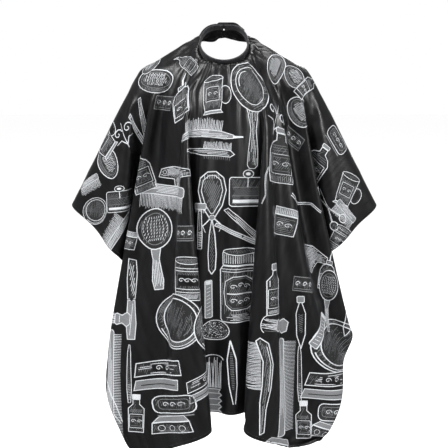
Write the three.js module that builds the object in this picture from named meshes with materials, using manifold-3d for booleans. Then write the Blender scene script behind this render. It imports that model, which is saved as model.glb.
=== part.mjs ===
// Barber cape: a draped cloth panel on an elastic neckband that closes at the nape with press studs.
// Millimetres, +Z up. The origin is the centre of the neck opening, and the cape's front faces -Y.
import * as THREE from 'three';
import { mergeVertices } from 'three/addons/utils/BufferGeometryUtils.js';
import Module from 'manifold-3d';

const wasm = await Module();
wasm.setup();

// ---- driving dimensions ----------------------------------------------------------------------

// Neck opening: an ellipse with a flat stretch at the nape, in a plane that dips towards the front.
const NECK_HALF_WIDTH = 61.5;
const NECK_HALF_DEPTH = 70;
const NAPE_HALF_FLAT = 20;
const NECK_TILT = THREE.MathUtils.degToRad(38);
const NECK_GAP = 3;

// Neckband: a sewn casing with a channel, and the elastic in it.
const BAND_HEIGHT = 17;
const BAND_THICKNESS = 4.4;
const CHANNEL_HEIGHT = 13;
const CHANNEL_THICKNESS = 1.8;
const ELASTIC_HEIGHT = 12;
const ELASTIC_THICKNESS = 1;
const ELASTIC_SETBACK = 2;

// Closing tabs: two folded strips that overlap at the nape.
const TAB_HEIGHT = 16;
const TAB_THICKNESS = 1.6;
const STUD_PITCH = 16;
const STUD_COUNT = 6;
const SOCKET_COUNT = 2;
const FIRST_STUD = 6;
const UNDER_TAB_TIP = 14;
const UNDER_TAB_ROOT = -90;
const OVER_TAB_TIP = -18.5;
const OVER_TAB_HINGE = 20;
const OVER_TAB_ROOT = 58;
const SEAM_GAP = 0.3;

// Press studs: radii and heights, measured along the stud's own axis.
const STUD_FLANGE_RADIUS = 4.6;
const STUD_KNOB_RADIUS = 2.1;
const STUD_NECK_RADIUS = 1.8;
const STUD_KNOB_HEIGHT = 2.4;
const SHANK_RADIUS = 1.4;
const HOLE_RADIUS = 1.8;
const BACK_RADIUS = 3.8;
const BACK_GAP = 0.6;
const PLATE_THICKNESS = 0.7;
const SOCKET_RADIUS = 4.6;
const SOCKET_BORE_RADIUS = 2.55;
const CAP_RADIUS = 5.8;
const CAP_HEIGHT = 1.6;
const STUD_CLEARANCE = 0.4;
const SNAP_SEGMENTS = 18;

// Heights outward from the band's centre line, layer by layer.
const BACK_BASE = BAND_THICKNESS / 2 + STUD_CLEARANCE;
const UNDER_TAB_BASE = BACK_BASE + PLATE_THICKNESS + BACK_GAP;
const STUD_BASE = UNDER_TAB_BASE + TAB_THICKNESS + SEAM_GAP;
const KNOB_BASE = STUD_BASE + PLATE_THICKNESS;
const SOCKET_BASE = KNOB_BASE + STUD_CLEARANCE;
const BORE_TOP = KNOB_BASE + STUD_KNOB_HEIGHT + STUD_CLEARANCE;
const SOCKET_TOP = BORE_TOP + PLATE_THICKNESS;
const OVER_TAB_BASE = SOCKET_TOP + SEAM_GAP;
const CAP_BASE = OVER_TAB_BASE + TAB_THICKNESS + SEAM_GAP;

// Cape panel.
const PANEL_THICKNESS = 1.2;
const PANEL_SEAM_OFFSET = 0.3;
const PANEL_SEAM_DROP = 0.9;
const PANEL_COLUMNS_PER_HALF = 44;
const PANEL_ROWS = 26;

// ---- materials ---------------------------------------------------------------------------------

const MATERIALS = {
  cape_cloth: { color: 0x0c0c0f, roughness: 0.45, metalness: 0 },
  band_cloth: { color: 0x0a0a0c, roughness: 0.6, metalness: 0 },
  elastic: { color: 0x1b1b1d, roughness: 0.85, metalness: 0 },
  nickel: { color: 0xb9bab8, roughness: 0.25, metalness: 1 },
};

const cape = new THREE.Group();

function addPart(name, geometry, material, parent = cape) {
  const mesh = new THREE.Mesh(geometry, new THREE.MeshStandardMaterial(MATERIALS[material]));
  mesh.name = name;
  parent.add(mesh);
  return mesh;
}

// ---- the neck line -----------------------------------------------------------------------------

const napeArc = new THREE.EllipseCurve(
  NAPE_HALF_FLAT, 0, NECK_HALF_WIDTH - NAPE_HALF_FLAT, NECK_HALF_DEPTH, Math.PI / 2, 0, true);
const throatArc = new THREE.EllipseCurve(
  0, 0, NECK_HALF_WIDTH, NECK_HALF_DEPTH, 0, -Math.PI / 2, true);
const NAPE_ARC_LENGTH = napeArc.getLength();
const THROAT_ARC_LENGTH = throatArc.getLength();
const HALF_GIRTH = NAPE_HALF_FLAT + NAPE_ARC_LENGTH + THROAT_ARC_LENGTH;

// Point and outward normal of the neck line, at a signed distance from the nape (+ is the right).
function neckLine(distance) {
  const side = distance < 0 ? -1 : 1;
  const along = Math.min(Math.abs(distance), HALF_GIRTH);
  let point = new THREE.Vector2(along, NECK_HALF_DEPTH);
  let tangent = new THREE.Vector2(1, 0);
  if (along > NAPE_HALF_FLAT + NAPE_ARC_LENGTH) {
    const part = (along - NAPE_HALF_FLAT - NAPE_ARC_LENGTH) / THROAT_ARC_LENGTH;
    point = throatArc.getPointAt(part);
    tangent = throatArc.getTangentAt(part);
  } else if (along > NAPE_HALF_FLAT) {
    const part = (along - NAPE_HALF_FLAT) / NAPE_ARC_LENGTH;
    point = napeArc.getPointAt(part);
    tangent = napeArc.getTangentAt(part);
  }
  return {
    point: new THREE.Vector2(side * point.x, point.y),
    normal: new THREE.Vector2(-side * tangent.y, tangent.x),
  };
}

// From the neck line to space: distance along it, height out of it, height up the neck.
function atNeck(distance, out, up) {
  const { point, normal } = neckLine(distance);
  const x = point.x + normal.x * out;
  const q = point.y + normal.y * out;
  return new THREE.Vector3(
    x,
    q * Math.cos(NECK_TILT) - up * Math.sin(NECK_TILT),
    q * Math.sin(NECK_TILT) + up * Math.cos(NECK_TILT));
}

// A group whose own +Z points out of the neck line and whose +Y points up the neck.
function neckFrame(distance, out) {
  const { normal } = neckLine(distance);
  const z = new THREE.Vector3(
    normal.x, normal.y * Math.cos(NECK_TILT), normal.y * Math.sin(NECK_TILT));
  const y = new THREE.Vector3(0, -Math.sin(NECK_TILT), Math.cos(NECK_TILT));
  const x = new THREE.Vector3().crossVectors(y, z);
  const frame = new THREE.Group();
  frame.quaternion.setFromRotationMatrix(new THREE.Matrix4().makeBasis(x, y, z));
  frame.position.copy(atNeck(distance, out, 0));
  return frame;
}

// ---- solids ------------------------------------------------------------------------------------

function meshFromRings(rings, capFaces) {
  const size = rings[0].length;
  const index = [];
  for (let i = 0; i + 1 < rings.length; i++) {
    for (const loop of ringLoops(size, capFaces.loopSizes)) {
      for (const [a, b] of loop) {
        const p = i * size;
        const q = p + size;
        index.push(p + a, p + b, q + b, p + a, q + b, q + a);
      }
    }
  }
  const last = (rings.length - 1) * size;
  for (const [a, b, c] of capFaces.triangles) {
    index.push(c, b, a, last + a, last + b, last + c);
  }
  const geometry = new THREE.BufferGeometry();
  geometry.setAttribute('position', new THREE.Float32BufferAttribute(
    rings.flat().flatMap((v) => [v.x, v.y, v.z]), 3));
  geometry.setIndex(index);
  return facingOut(geometry);
}

function ringLoops(size, loopSizes) {
  let start = 0;
  return loopSizes.map((count) => {
    const loop = [];
    for (let k = 0; k < count; k++) {
      loop.push([start + k, start + ((k + 1) % count)]);
    }
    start += count;
    return loop;
  });
}

// Turns every triangle over if the closed mesh encloses a negative volume.
function facingOut(geometry) {
  const position = geometry.getAttribute('position');
  const index = geometry.getIndex().array;
  const corner = (i) => new THREE.Vector3().fromBufferAttribute(position, index[i]);
  let volume = 0;
  for (let i = 0; i < index.length; i += 3) {
    volume += corner(i).dot(corner(i + 1).cross(corner(i + 2)));
  }
  if (volume < 0) {
    for (let i = 0; i < index.length; i += 3) {
      [index[i], index[i + 1]] = [index[i + 1], index[i]];
    }
  }
  geometry.computeVertexNormals();
  return geometry;
}

// A strip that follows the neck line. profile(d) gives its base and half height there.
function neckStrip(distances, thickness, profile, channel = null) {
  const corners = [[0, -1], [1, -1], [1, 1], [0, 1]];
  const rings = distances.map((d) => {
    const { base, half } = profile(d);
    const ring = corners.map(([w, h]) => atNeck(d, base + w * thickness, h * half));
    if (channel) {
      const inset = (thickness - channel.thickness) / 2;
      const low = base + inset;
      ring.push(...corners.map(([w, h]) => (
        atNeck(d, low + w * channel.thickness, h * channel.half))).reverse());
    }
    return ring;
  });
  const outline = corners.map(([w, h]) => new THREE.Vector2(w, h));
  const hole = corners.map(([w, h]) => new THREE.Vector2(0.25 + w / 2, h / 2)).reverse();
  const triangles = THREE.ShapeUtils.triangulateShape(outline, channel ? [hole] : []);
  return meshFromRings(rings, { triangles, loopSizes: channel ? [4, 4] : [4] });
}

function spaced(from, to, step) {
  const count = Math.max(1, Math.round(Math.abs(to - from) / step));
  return Array.from({ length: count + 1 }, (_, k) => from + ((to - from) * k) / count);
}

// Stations along a tab, closer together over its rounded tip.
function tabStations(tip, root, step) {
  const radius = TAB_HEIGHT / 2;
  const inward = Math.sign(root - tip);
  const rounded = [0.04, 0.25, 0.55, 0.9, 1.3].map((a) => tip + inward * radius * (1 - Math.cos(a)));
  return [...rounded, ...spaced(tip + inward * radius, root, step)];
}

function tabHalfHeight(distance, tip) {
  const radius = TAB_HEIGHT / 2;
  const reach = Math.min(Math.abs(distance - tip) / radius, 1);
  return radius * Math.sqrt(Math.max(1 - (1 - reach) ** 2, 0));
}

function toManifold(geometry, matrix = new THREE.Matrix4()) {
  const bare = new THREE.BufferGeometry();
  bare.setAttribute('position', geometry.getAttribute('position').clone());
  if (geometry.getIndex()) {
    bare.setIndex(geometry.getIndex().clone());
  }
  bare.applyMatrix4(matrix);
  const merged = mergeVertices(bare, 1e-4);
  return new wasm.Manifold(new wasm.Mesh({
    numProp: 3,
    vertProperties: new Float32Array(merged.getAttribute('position').array),
    triVerts: new Uint32Array(merged.getIndex().array),
  }));
}

function fromManifold(solid) {
  const mesh = solid.getMesh();
  const geometry = new THREE.BufferGeometry();
  geometry.setAttribute('position', new THREE.Float32BufferAttribute(mesh.vertProperties, 3));
  geometry.setIndex(Array.from(mesh.triVerts));
  geometry.computeVertexNormals();
  return geometry;
}

// Punches a hole through a tab wherever a rivet shank passes.
function punchHoles(geometry, places, base) {
  const punch = new THREE.CylinderGeometry(HOLE_RADIUS, HOLE_RADIUS, TAB_THICKNESS * 3, 16);
  punch.rotateX(Math.PI / 2);
  let solid = toManifold(geometry);
  for (const place of places) {
    const frame = neckFrame(place, base + TAB_THICKNESS / 2);
    frame.updateMatrixWorld(true);
    solid = solid.subtract(toManifold(punch, frame.matrixWorld));
  }
  return fromManifold(solid);
}

// Turned piece: the profile is [radius, height] pairs that start and end on the axis.
function turned(profile) {
  const points = profile.map(([r, h]) => new THREE.Vector2(r, h));
  const geometry = new THREE.LatheGeometry(points, SNAP_SEGMENTS);
  geometry.rotateX(Math.PI / 2);
  geometry.deleteAttribute('normal');
  geometry.deleteAttribute('uv');
  return facingOut(mergeVertices(geometry, 1e-5));
}

// ---- neckband ----------------------------------------------------------------------------------

function buildNeckband() {
  const bandEnd = 2 * HALF_GIRTH - NECK_GAP / 2;
  const around = (d) => (d > HALF_GIRTH ? d - 2 * HALF_GIRTH : d);
  const casingStations = spaced(NECK_GAP / 2, bandEnd, 6).map(around);
  addPart('neckband_casing', neckStrip(
    casingStations,
    BAND_THICKNESS,
    () => ({ base: -BAND_THICKNESS / 2, half: BAND_HEIGHT / 2 }),
    { thickness: CHANNEL_THICKNESS, half: CHANNEL_HEIGHT / 2 }), 'band_cloth');
  const start = NECK_GAP / 2 + ELASTIC_SETBACK;
  const elasticStations = spaced(start, bandEnd - ELASTIC_SETBACK, 6).map(around);
  addPart('neck_elastic', neckStrip(
    elasticStations,
    ELASTIC_THICKNESS,
    () => ({ base: -ELASTIC_THICKNESS / 2, half: ELASTIC_HEIGHT / 2 })), 'elastic');
}

// ---- tabs --------------------------------------------------------------------------------------

const STUD_PLACES = Array.from({ length: STUD_COUNT }, (_, k) => FIRST_STUD - k * STUD_PITCH);
const SOCKET_PLACES = STUD_PLACES.slice(0, SOCKET_COUNT);

function buildTabs() {
  // The under tab is sewn to the left of the band and runs past the nape.
  const sewnBase = BAND_THICKNESS / 2 + SEAM_GAP;
  const lastStud = STUD_PLACES[STUD_COUNT - 1];
  const under = neckStrip(
    tabStations(UNDER_TAB_TIP, UNDER_TAB_ROOT, 5),
    TAB_THICKNESS,
    (d) => ({
      base: THREE.MathUtils.lerp(sewnBase, UNDER_TAB_BASE,
        THREE.MathUtils.smoothstep(d, UNDER_TAB_ROOT, lastStud - STUD_FLANGE_RADIUS - 1)),
      half: tabHalfHeight(d, UNDER_TAB_TIP),
    }));
  addPart('under_tab', punchHoles(under, STUD_PLACES, UNDER_TAB_BASE), 'band_cloth');

  // The over tab is sewn to the right of the band; from its hinge line on, it peels off the studs.
  const over = neckStrip(
    tabStations(OVER_TAB_TIP, OVER_TAB_HINGE - SEAM_GAP / 2, 6),
    TAB_THICKNESS,
    (d) => ({ base: OVER_TAB_BASE, half: tabHalfHeight(d, OVER_TAB_TIP) }));
  addPart('over_tab', punchHoles(over, SOCKET_PLACES, OVER_TAB_BASE), 'band_cloth');
  addPart('over_tab_root', neckStrip(
    spaced(OVER_TAB_HINGE + SEAM_GAP / 2, OVER_TAB_ROOT, 4),
    TAB_THICKNESS,
    (d) => ({
      base: THREE.MathUtils.lerp(OVER_TAB_BASE, sewnBase,
        THREE.MathUtils.smoothstep(d, OVER_TAB_HINGE + 2, OVER_TAB_ROOT - 12)),
      half: TAB_HEIGHT / 2,
    })), 'band_cloth');
}

// ---- press studs -------------------------------------------------------------------------------

function buildSnaps() {
  const shankLength = TAB_THICKNESS + BACK_GAP;
  const stud = turned([
    [0, -shankLength],
    [SHANK_RADIUS, -shankLength],
    [SHANK_RADIUS, 0],
    [STUD_FLANGE_RADIUS, 0],
    [STUD_FLANGE_RADIUS - 0.2, PLATE_THICKNESS - 0.1],
    [STUD_NECK_RADIUS + 0.6, PLATE_THICKNESS],
    [STUD_NECK_RADIUS, PLATE_THICKNESS + 0.3],
    [STUD_NECK_RADIUS, PLATE_THICKNESS + 0.9],
    [STUD_KNOB_RADIUS, PLATE_THICKNESS + 1.6],
    [STUD_KNOB_RADIUS - 0.3, PLATE_THICKNESS + 2.2],
    [STUD_KNOB_RADIUS - 0.9, PLATE_THICKNESS + STUD_KNOB_HEIGHT],
    [0, PLATE_THICKNESS + STUD_KNOB_HEIGHT],
  ]);
  const back = turned([
    [0, 0],
    [BACK_RADIUS - 0.25, 0],
    [BACK_RADIUS, 0.25],
    [BACK_RADIUS, PLATE_THICKNESS],
    [0, PLATE_THICKNESS],
  ]);
  STUD_PLACES.forEach((place, k) => {
    const studFrame = neckFrame(place, STUD_BASE);
    addPart(`stud_${k + 1}`, stud, 'nickel', studFrame);
    const backFrame = neckFrame(place, BACK_BASE);
    addPart(`stud_back_${k + 1}`, back, 'nickel', backFrame);
    cape.add(studFrame, backFrame);
  });

  const depth = BORE_TOP - SOCKET_BASE;
  const height = SOCKET_TOP - SOCKET_BASE;
  const socket = turned([
    [0, depth],
    [SOCKET_BORE_RADIUS, depth],
    [SOCKET_BORE_RADIUS, 0.3],
    [SOCKET_BORE_RADIUS + 0.3, 0],
    [SOCKET_RADIUS - 0.5, 0],
    [SOCKET_RADIUS, 0.6],
    [SOCKET_RADIUS, height],
    [SHANK_RADIUS, height],
    [SHANK_RADIUS, height + SEAM_GAP + TAB_THICKNESS],
    [0, height + SEAM_GAP + TAB_THICKNESS],
  ]);
  const cap = turned([
    [0, 0],
    [CAP_RADIUS, 0],
    [CAP_RADIUS, 0.5],
    [CAP_RADIUS * 0.93, 0.95],
    [CAP_RADIUS * 0.72, 1.3],
    [CAP_RADIUS * 0.4, 1.52],
    [0, CAP_HEIGHT],
  ]);
  SOCKET_PLACES.forEach((place, k) => {
    const socketFrame = neckFrame(place, SOCKET_BASE);
    addPart(`socket_${k + 1}`, socket, 'nickel', socketFrame);
    const capFrame = neckFrame(place, CAP_BASE);
    addPart(`socket_cap_${k + 1}`, cap, 'nickel', capFrame);
    cape.add(socketFrame, capFrame);
  });
}

// ---- cape panel --------------------------------------------------------------------------------

// Ribs of the drape on the right half, from the slit at the nape round to the middle of the front.
// turn is the rib's direction in the flat cloth, in degrees from the slit; the three points are
// where it lies on the shoulder, half way down, and at the cloth's edge.
const DRAPE_RIBS = [
  { turn: 0, shoulder: [2, 64, 30], middle: [2, 69, 23], edge: [2, 75, 15] },
  { turn: 60, shoulder: [88, 74, 4], middle: [122, 86, -16], edge: [158, 96, -46] },
  { turn: 80, shoulder: [142, 42, -24], middle: [222, 58, -88], edge: [352, 88, -246] },
  { turn: 94, shoulder: [150, 2, -16], middle: [226, -4, -80], edge: [402, 6, -388] },
  { turn: 115, shoulder: [122, -34, -42], middle: [236, -48, -236], edge: [290, 52, -640] },
  { turn: 133, shoulder: [106, -58, -72], middle: [226, -76, -420], edge: [262, 64, -900] },
  { turn: 150, shoulder: [92, -74, -94], middle: [220, -84, -520], edge: [322, 20, -1014] },
  { turn: 160, shoulder: [76, -84, -110], middle: [214, -112, -560], edge: [378, -100, -1042] },
  { turn: 166, shoulder: [58, -90, -120], middle: [164, -142, -570], edge: [320, -216, -1056] },
  { turn: 173, shoulder: [34, -96, -132], middle: [88, -138, -575], edge: [166, -148, -1044] },
  { turn: 180, shoulder: [0, -106, -146], middle: [0, -172, -580], edge: [0, -244, -1062] },
];

// Point of the drape's outer face. across runs from -1 (left of the slit) through 0 (the front)
// to 1 (right of the slit), and down from 0 at the band to 1 at the cloth's edge.
function drapeSurface() {
  const reach = DRAPE_RIBS.length - 1;
  const ribCurve = (key) => {
    const half = DRAPE_RIBS.map((rib) => new THREE.Vector3(...rib[key]));
    const other = half.slice(0, -1).reverse().map((p) => new THREE.Vector3(-p.x, p.y, p.z));
    return new THREE.CatmullRomCurve3([...half, ...other], false, 'centripetal');
  };
  const curves = ['shoulder', 'middle', 'edge'].map(ribCurve);
  const turnAt = (rib) => {
    const low = Math.min(Math.floor(rib), reach - 1);
    return THREE.MathUtils.lerp(DRAPE_RIBS[low].turn, DRAPE_RIBS[low + 1].turn, rib - low);
  };
  return (across, down) => {
    const rib = (1 - Math.abs(across)) * reach;
    const side = across < 0 ? -1 : 1;
    const distance = side * THREE.MathUtils.lerp(NECK_GAP / 2, HALF_GIRTH, turnAt(rib) / 180);
    const at = across < 0 ? 1 - rib / (2 * reach) : rib / (2 * reach);
    const points = [
      atNeck(distance, PANEL_SEAM_OFFSET + PANEL_THICKNESS, -BAND_HEIGHT / 2 - PANEL_SEAM_DROP),
      ...curves.map((curve) => curve.getPoint(at)),
    ];
    return new THREE.CatmullRomCurve3(points, false, 'centripetal').getPoint(down);
  };
}

function buildPanel() {
  const surface = drapeSurface();
  const columns = 2 * PANEL_COLUMNS_PER_HALF + 1;
  const rows = PANEL_ROWS + 1;
  const outer = [];
  for (let i = 0; i < columns; i++) {
    const across = 1 - (2 * i) / (columns - 1);
    for (let j = 0; j < rows; j++) {
      outer.push(surface(across, (j / (rows - 1)) ** 1.25));
    }
  }
  const sheet = new THREE.BufferGeometry();
  sheet.setAttribute('position', new THREE.Float32BufferAttribute(
    outer.flatMap((p) => [p.x, p.y, p.z]), 3));
  const faces = [];
  for (let i = 0; i + 1 < columns; i++) {
    for (let j = 0; j + 1 < rows; j++) {
      const a = i * rows + j;
      faces.push([a, a + 1, a + rows + 1], [a, a + rows + 1, a + rows]);
    }
  }
  sheet.setIndex(faces.flat());
  sheet.computeVertexNormals();
  const normal = sheet.getAttribute('normal');
  const middle = PANEL_COLUMNS_PER_HALF * rows + Math.round(rows / 2);
  const outward = normal.getY(middle) < 0 ? 1 : -1;
  const inner = outer.map((p, k) => new THREE.Vector3()
    .fromBufferAttribute(normal, k).multiplyScalar(-outward * PANEL_THICKNESS).add(p));

  const border = [];
  for (let i = 0; i + 1 < columns; i++) border.push([i * rows, (i + 1) * rows]);
  for (let j = 0; j + 1 < rows; j++) {
    border.push([(columns - 1) * rows + j, (columns - 1) * rows + j + 1]);
  }
  for (let i = columns - 1; i > 0; i--) {
    border.push([i * rows + rows - 1, (i - 1) * rows + rows - 1]);
  }
  for (let j = rows - 1; j > 0; j--) border.push([j, j - 1]);

  const count = outer.length;
  const index = faces.flat();
  for (const [a, b, c] of faces) index.push(count + a, count + c, count + b);
  for (const [a, b] of border) index.push(a, b, count + b, a, count + b, count + a);
  const panel = new THREE.BufferGeometry();
  panel.setAttribute('position', new THREE.Float32BufferAttribute(
    [...outer, ...inner].flatMap((p) => [p.x, p.y, p.z]), 3));
  panel.setIndex(index);
  addPart('cape_panel', facingOut(panel), 'cape_cloth');
}

buildPanel();
buildNeckband();
buildTabs();
buildSnaps();

export default cape;
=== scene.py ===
"""Barber cape: a satin cloth with a printed repeat, gathered on an elastic neckband.

Metres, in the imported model's frame: +Z up, the front of the cape faces -Y, and the origin is the
middle of the neck opening. Flat cloth points are (u, v): u to the right, v up from the neck hole.
"""

import bpy
import bmesh
import math
import random
import numpy as np
from mathutils import Matrix, Vector
from mathutils.bvhtree import BVHTree
from mathutils.geometry import delaunay_2d_cdt


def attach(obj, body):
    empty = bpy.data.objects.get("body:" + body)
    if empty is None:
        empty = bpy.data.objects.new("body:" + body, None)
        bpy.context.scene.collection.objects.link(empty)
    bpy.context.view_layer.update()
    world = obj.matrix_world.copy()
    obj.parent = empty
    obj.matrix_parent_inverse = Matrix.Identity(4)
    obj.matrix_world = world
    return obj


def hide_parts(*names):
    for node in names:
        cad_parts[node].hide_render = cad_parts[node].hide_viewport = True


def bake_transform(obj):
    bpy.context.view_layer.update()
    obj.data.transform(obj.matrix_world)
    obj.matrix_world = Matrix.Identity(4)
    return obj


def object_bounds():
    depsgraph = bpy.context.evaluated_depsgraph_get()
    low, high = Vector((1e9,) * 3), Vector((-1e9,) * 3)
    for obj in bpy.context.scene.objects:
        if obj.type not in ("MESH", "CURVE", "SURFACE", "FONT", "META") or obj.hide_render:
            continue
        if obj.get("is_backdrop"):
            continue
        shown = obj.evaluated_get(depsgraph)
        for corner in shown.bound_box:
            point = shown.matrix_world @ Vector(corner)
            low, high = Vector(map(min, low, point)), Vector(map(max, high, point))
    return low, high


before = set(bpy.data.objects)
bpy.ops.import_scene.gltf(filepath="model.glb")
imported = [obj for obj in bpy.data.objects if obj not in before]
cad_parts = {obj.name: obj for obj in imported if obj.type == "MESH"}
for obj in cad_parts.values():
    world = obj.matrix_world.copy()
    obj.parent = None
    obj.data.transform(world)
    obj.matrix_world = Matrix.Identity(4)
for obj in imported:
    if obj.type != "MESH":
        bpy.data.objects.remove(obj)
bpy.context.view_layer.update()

MM = 0.001

# The flat cut.
CLOTH_WIDTH = 1.28
CLOTH_LENGTH = 1.05
HOLE_TO_TOP = 0.11
HOLE_RADIUS = 0.085
CORNER_RADIUS = 0.05
CLOTH_AREA = CLOTH_WIDTH * CLOTH_LENGTH - (2 - math.pi / 2) * CORNER_RADIUS ** 2
CLOTH_AREA -= math.pi * HOLE_RADIUS ** 2
HEM = HOLE_TO_TOP - CLOTH_LENGTH
CLOTH_THICKNESS = 0.00045
HEM_WIDTH = 0.009

# The print: how far it stands off the cloth, how wide its lines are over the widths stated for
# them, and the width of cloth that one print piece covers.
PRINT_LIFT = 0.0002
BOLD = 0.75
PRINT_REGION = 0.21

# The form that the cape is draped over: chest and hips as a middle height with half sizes, and a
# skirt below them, with its half width at the top, what it gains by the hem, and its front waves.
TORSO = ((-0.26, (0.165, 0.115, 0.24)), (-0.55, (0.18, 0.13, 0.25)))
SKIRT_TOP = 0.2
SKIRT_SPREAD = 0.21
WAVE_LENGTH = 0.42
WAVE_DEPTH = 0.05

# The neck line in millimetres, as in the CAD part. The cloth is sewn on SEAM_OUT out of and
# SEAM_UP above it, and its slit stays SLIT_GAP clear of the middle of the nape on each side.
NECK_HALF_WIDTH = 61.5
NECK_HALF_DEPTH = 70.0
NAPE_HALF_FLAT = 20.0
NECK_TILT = math.radians(38)
BAND_HALF_HEIGHT = 8.5
BAND_STITCH_UP = 6.9
SEAM_OUT = 1.5
SEAM_UP = -9.4
SLIT_GAP = 1.5

# The closing tabs in millimetres, as in the CAD part: how far out of the neck line their inner
# faces lie, and the distances along it of their tips, roots and bends.
TAB_HALF_HEIGHT = 8.0
TAB_THICKNESS = 1.6
SEWN_BASE = 2.5
UNDER_TAB_BASE = 3.9
OVER_TAB_BASE = 10.3
UNDER_TAB_TIP = 14.0
UNDER_TAB_BEND = -79.6
UNDER_TAB_ROOT = -90.0
OVER_TAB_TIP = -18.5
OVER_TAB_HINGE = 20.0
OVER_TAB_ROOT = 58.0
TAB_STITCH_INSET = 2.2


# ---- small tools ---------------------------------------------------------------------------

def smooth(t):
    """An even rise from 0 to 1 as t does the same."""
    t = np.clip(t, 0, 1)
    return t * t * (3 - 2 * t)


def mesh_object(name, points, faces, material, body="cape", uv=None):
    """A smooth mesh piece that rides on the body, if one is named."""
    mesh = bpy.data.meshes.new(name)
    mesh.from_pydata([tuple(p) for p in points], [], faces)
    mesh.update()
    piece = bpy.data.objects.new(name, mesh)
    bpy.context.scene.collection.objects.link(piece)
    mesh.polygons.foreach_set("use_smooth", [True] * len(mesh.polygons))
    mesh.materials.append(material)
    if uv is not None:
        layer = mesh.uv_layers.new(name="UVMap")
        corner = np.zeros(len(mesh.loops), np.int32)
        mesh.loops.foreach_get("vertex_index", corner)
        layer.data.foreach_set("uv", np.asarray(uv, np.float32)[corner].ravel())
    if body:
        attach(piece, body)
    return piece


def points_of(mesh):
    """A mesh's points as an array."""
    at = np.zeros(len(mesh.vertices) * 3, np.float32)
    mesh.vertices.foreach_get("co", at)
    return at.reshape(-1, 3).astype(float)


def laid_flat(flat):
    """Flat cloth points as points in space, at height 0."""
    return np.concatenate([flat, np.zeros((len(flat), 1))], 1)


def evaluated(piece):
    """The piece's mesh with its modifiers applied."""
    graph = bpy.context.evaluated_depsgraph_get()
    graph.update()
    return bpy.data.meshes.new_from_object(piece.evaluated_get(graph))


# ---- the neck line -------------------------------------------------------------------------

def neck_table():
    """Points down one side of the neck line, nape to throat, and their distance along it."""
    turn = np.linspace(0, np.pi / 2, 300)
    nape = np.stack([
        NAPE_HALF_FLAT + (NECK_HALF_WIDTH - NAPE_HALF_FLAT) * np.sin(turn),
        NECK_HALF_DEPTH * np.cos(turn)], 1)
    throat = np.stack([NECK_HALF_WIDTH * np.cos(turn), -NECK_HALF_DEPTH * np.sin(turn)], 1)
    line = np.concatenate([[[0, NECK_HALF_DEPTH]], nape, throat[1:]])
    step = np.linalg.norm(np.diff(line, axis=0), axis=1)
    return line, np.concatenate([[0], np.cumsum(step)])


NECK_LINE, NECK_ALONG = neck_table()
HALF_GIRTH = NECK_ALONG[-1]


def at_neck(distance, out, up):
    """Points in metres from millimetres along, out of and up from the neck line."""
    distance = np.asarray(distance, float)
    around = np.where(distance > HALF_GIRTH, distance - 2 * HALF_GIRTH, distance)
    side = np.where(around < 0, -1.0, 1.0)
    along = np.minimum(np.abs(around), HALF_GIRTH)
    p = np.interp(along, NECK_ALONG, NECK_LINE[:, 0])
    q = np.interp(along, NECK_ALONG, NECK_LINE[:, 1])
    reach = 0.6  # the line's direction is taken over this much to each side
    low = np.clip(along - reach, 0, HALF_GIRTH)
    high = np.clip(along + reach, 0, HALF_GIRTH)
    dp = np.interp(high, NECK_ALONG, NECK_LINE[:, 0]) - np.interp(low, NECK_ALONG, NECK_LINE[:, 0])
    dq = np.interp(high, NECK_ALONG, NECK_LINE[:, 1]) - np.interp(low, NECK_ALONG, NECK_LINE[:, 1])
    size = np.hypot(dp, dq)
    x = side * (p - dq / size * out)
    q = q + dp / size * out
    y = q * math.cos(NECK_TILT) - up * math.sin(NECK_TILT)
    z = q * math.sin(NECK_TILT) + up * math.cos(NECK_TILT)
    return np.stack(np.broadcast_arrays(x, y, z), -1) * MM


# ---- the cloth's flat pattern --------------------------------------------------------------

# The grid's cell size, half the side of the square round the hole that rings of quads fill, and
# the number of rings.
CELL = 0.012
PATCH = 0.144
PATCH_RINGS = 6


def half_width_at(v):
    """Half the cloth's width at height v of the flat cut; its lower corners are rounded."""
    past = np.clip((HEM + CORNER_RADIUS - v) / CORNER_RADIUS, 0, 1)
    return CLOTH_WIDTH / 2 - CORNER_RADIUS * (1 - np.sqrt(1 - 0.98 * past ** 2))


def even(low, high):
    """Values from low to high, about a cell apart."""
    return list(np.linspace(low, high, max(1, round((high - low) / CELL)) + 1))


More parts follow.
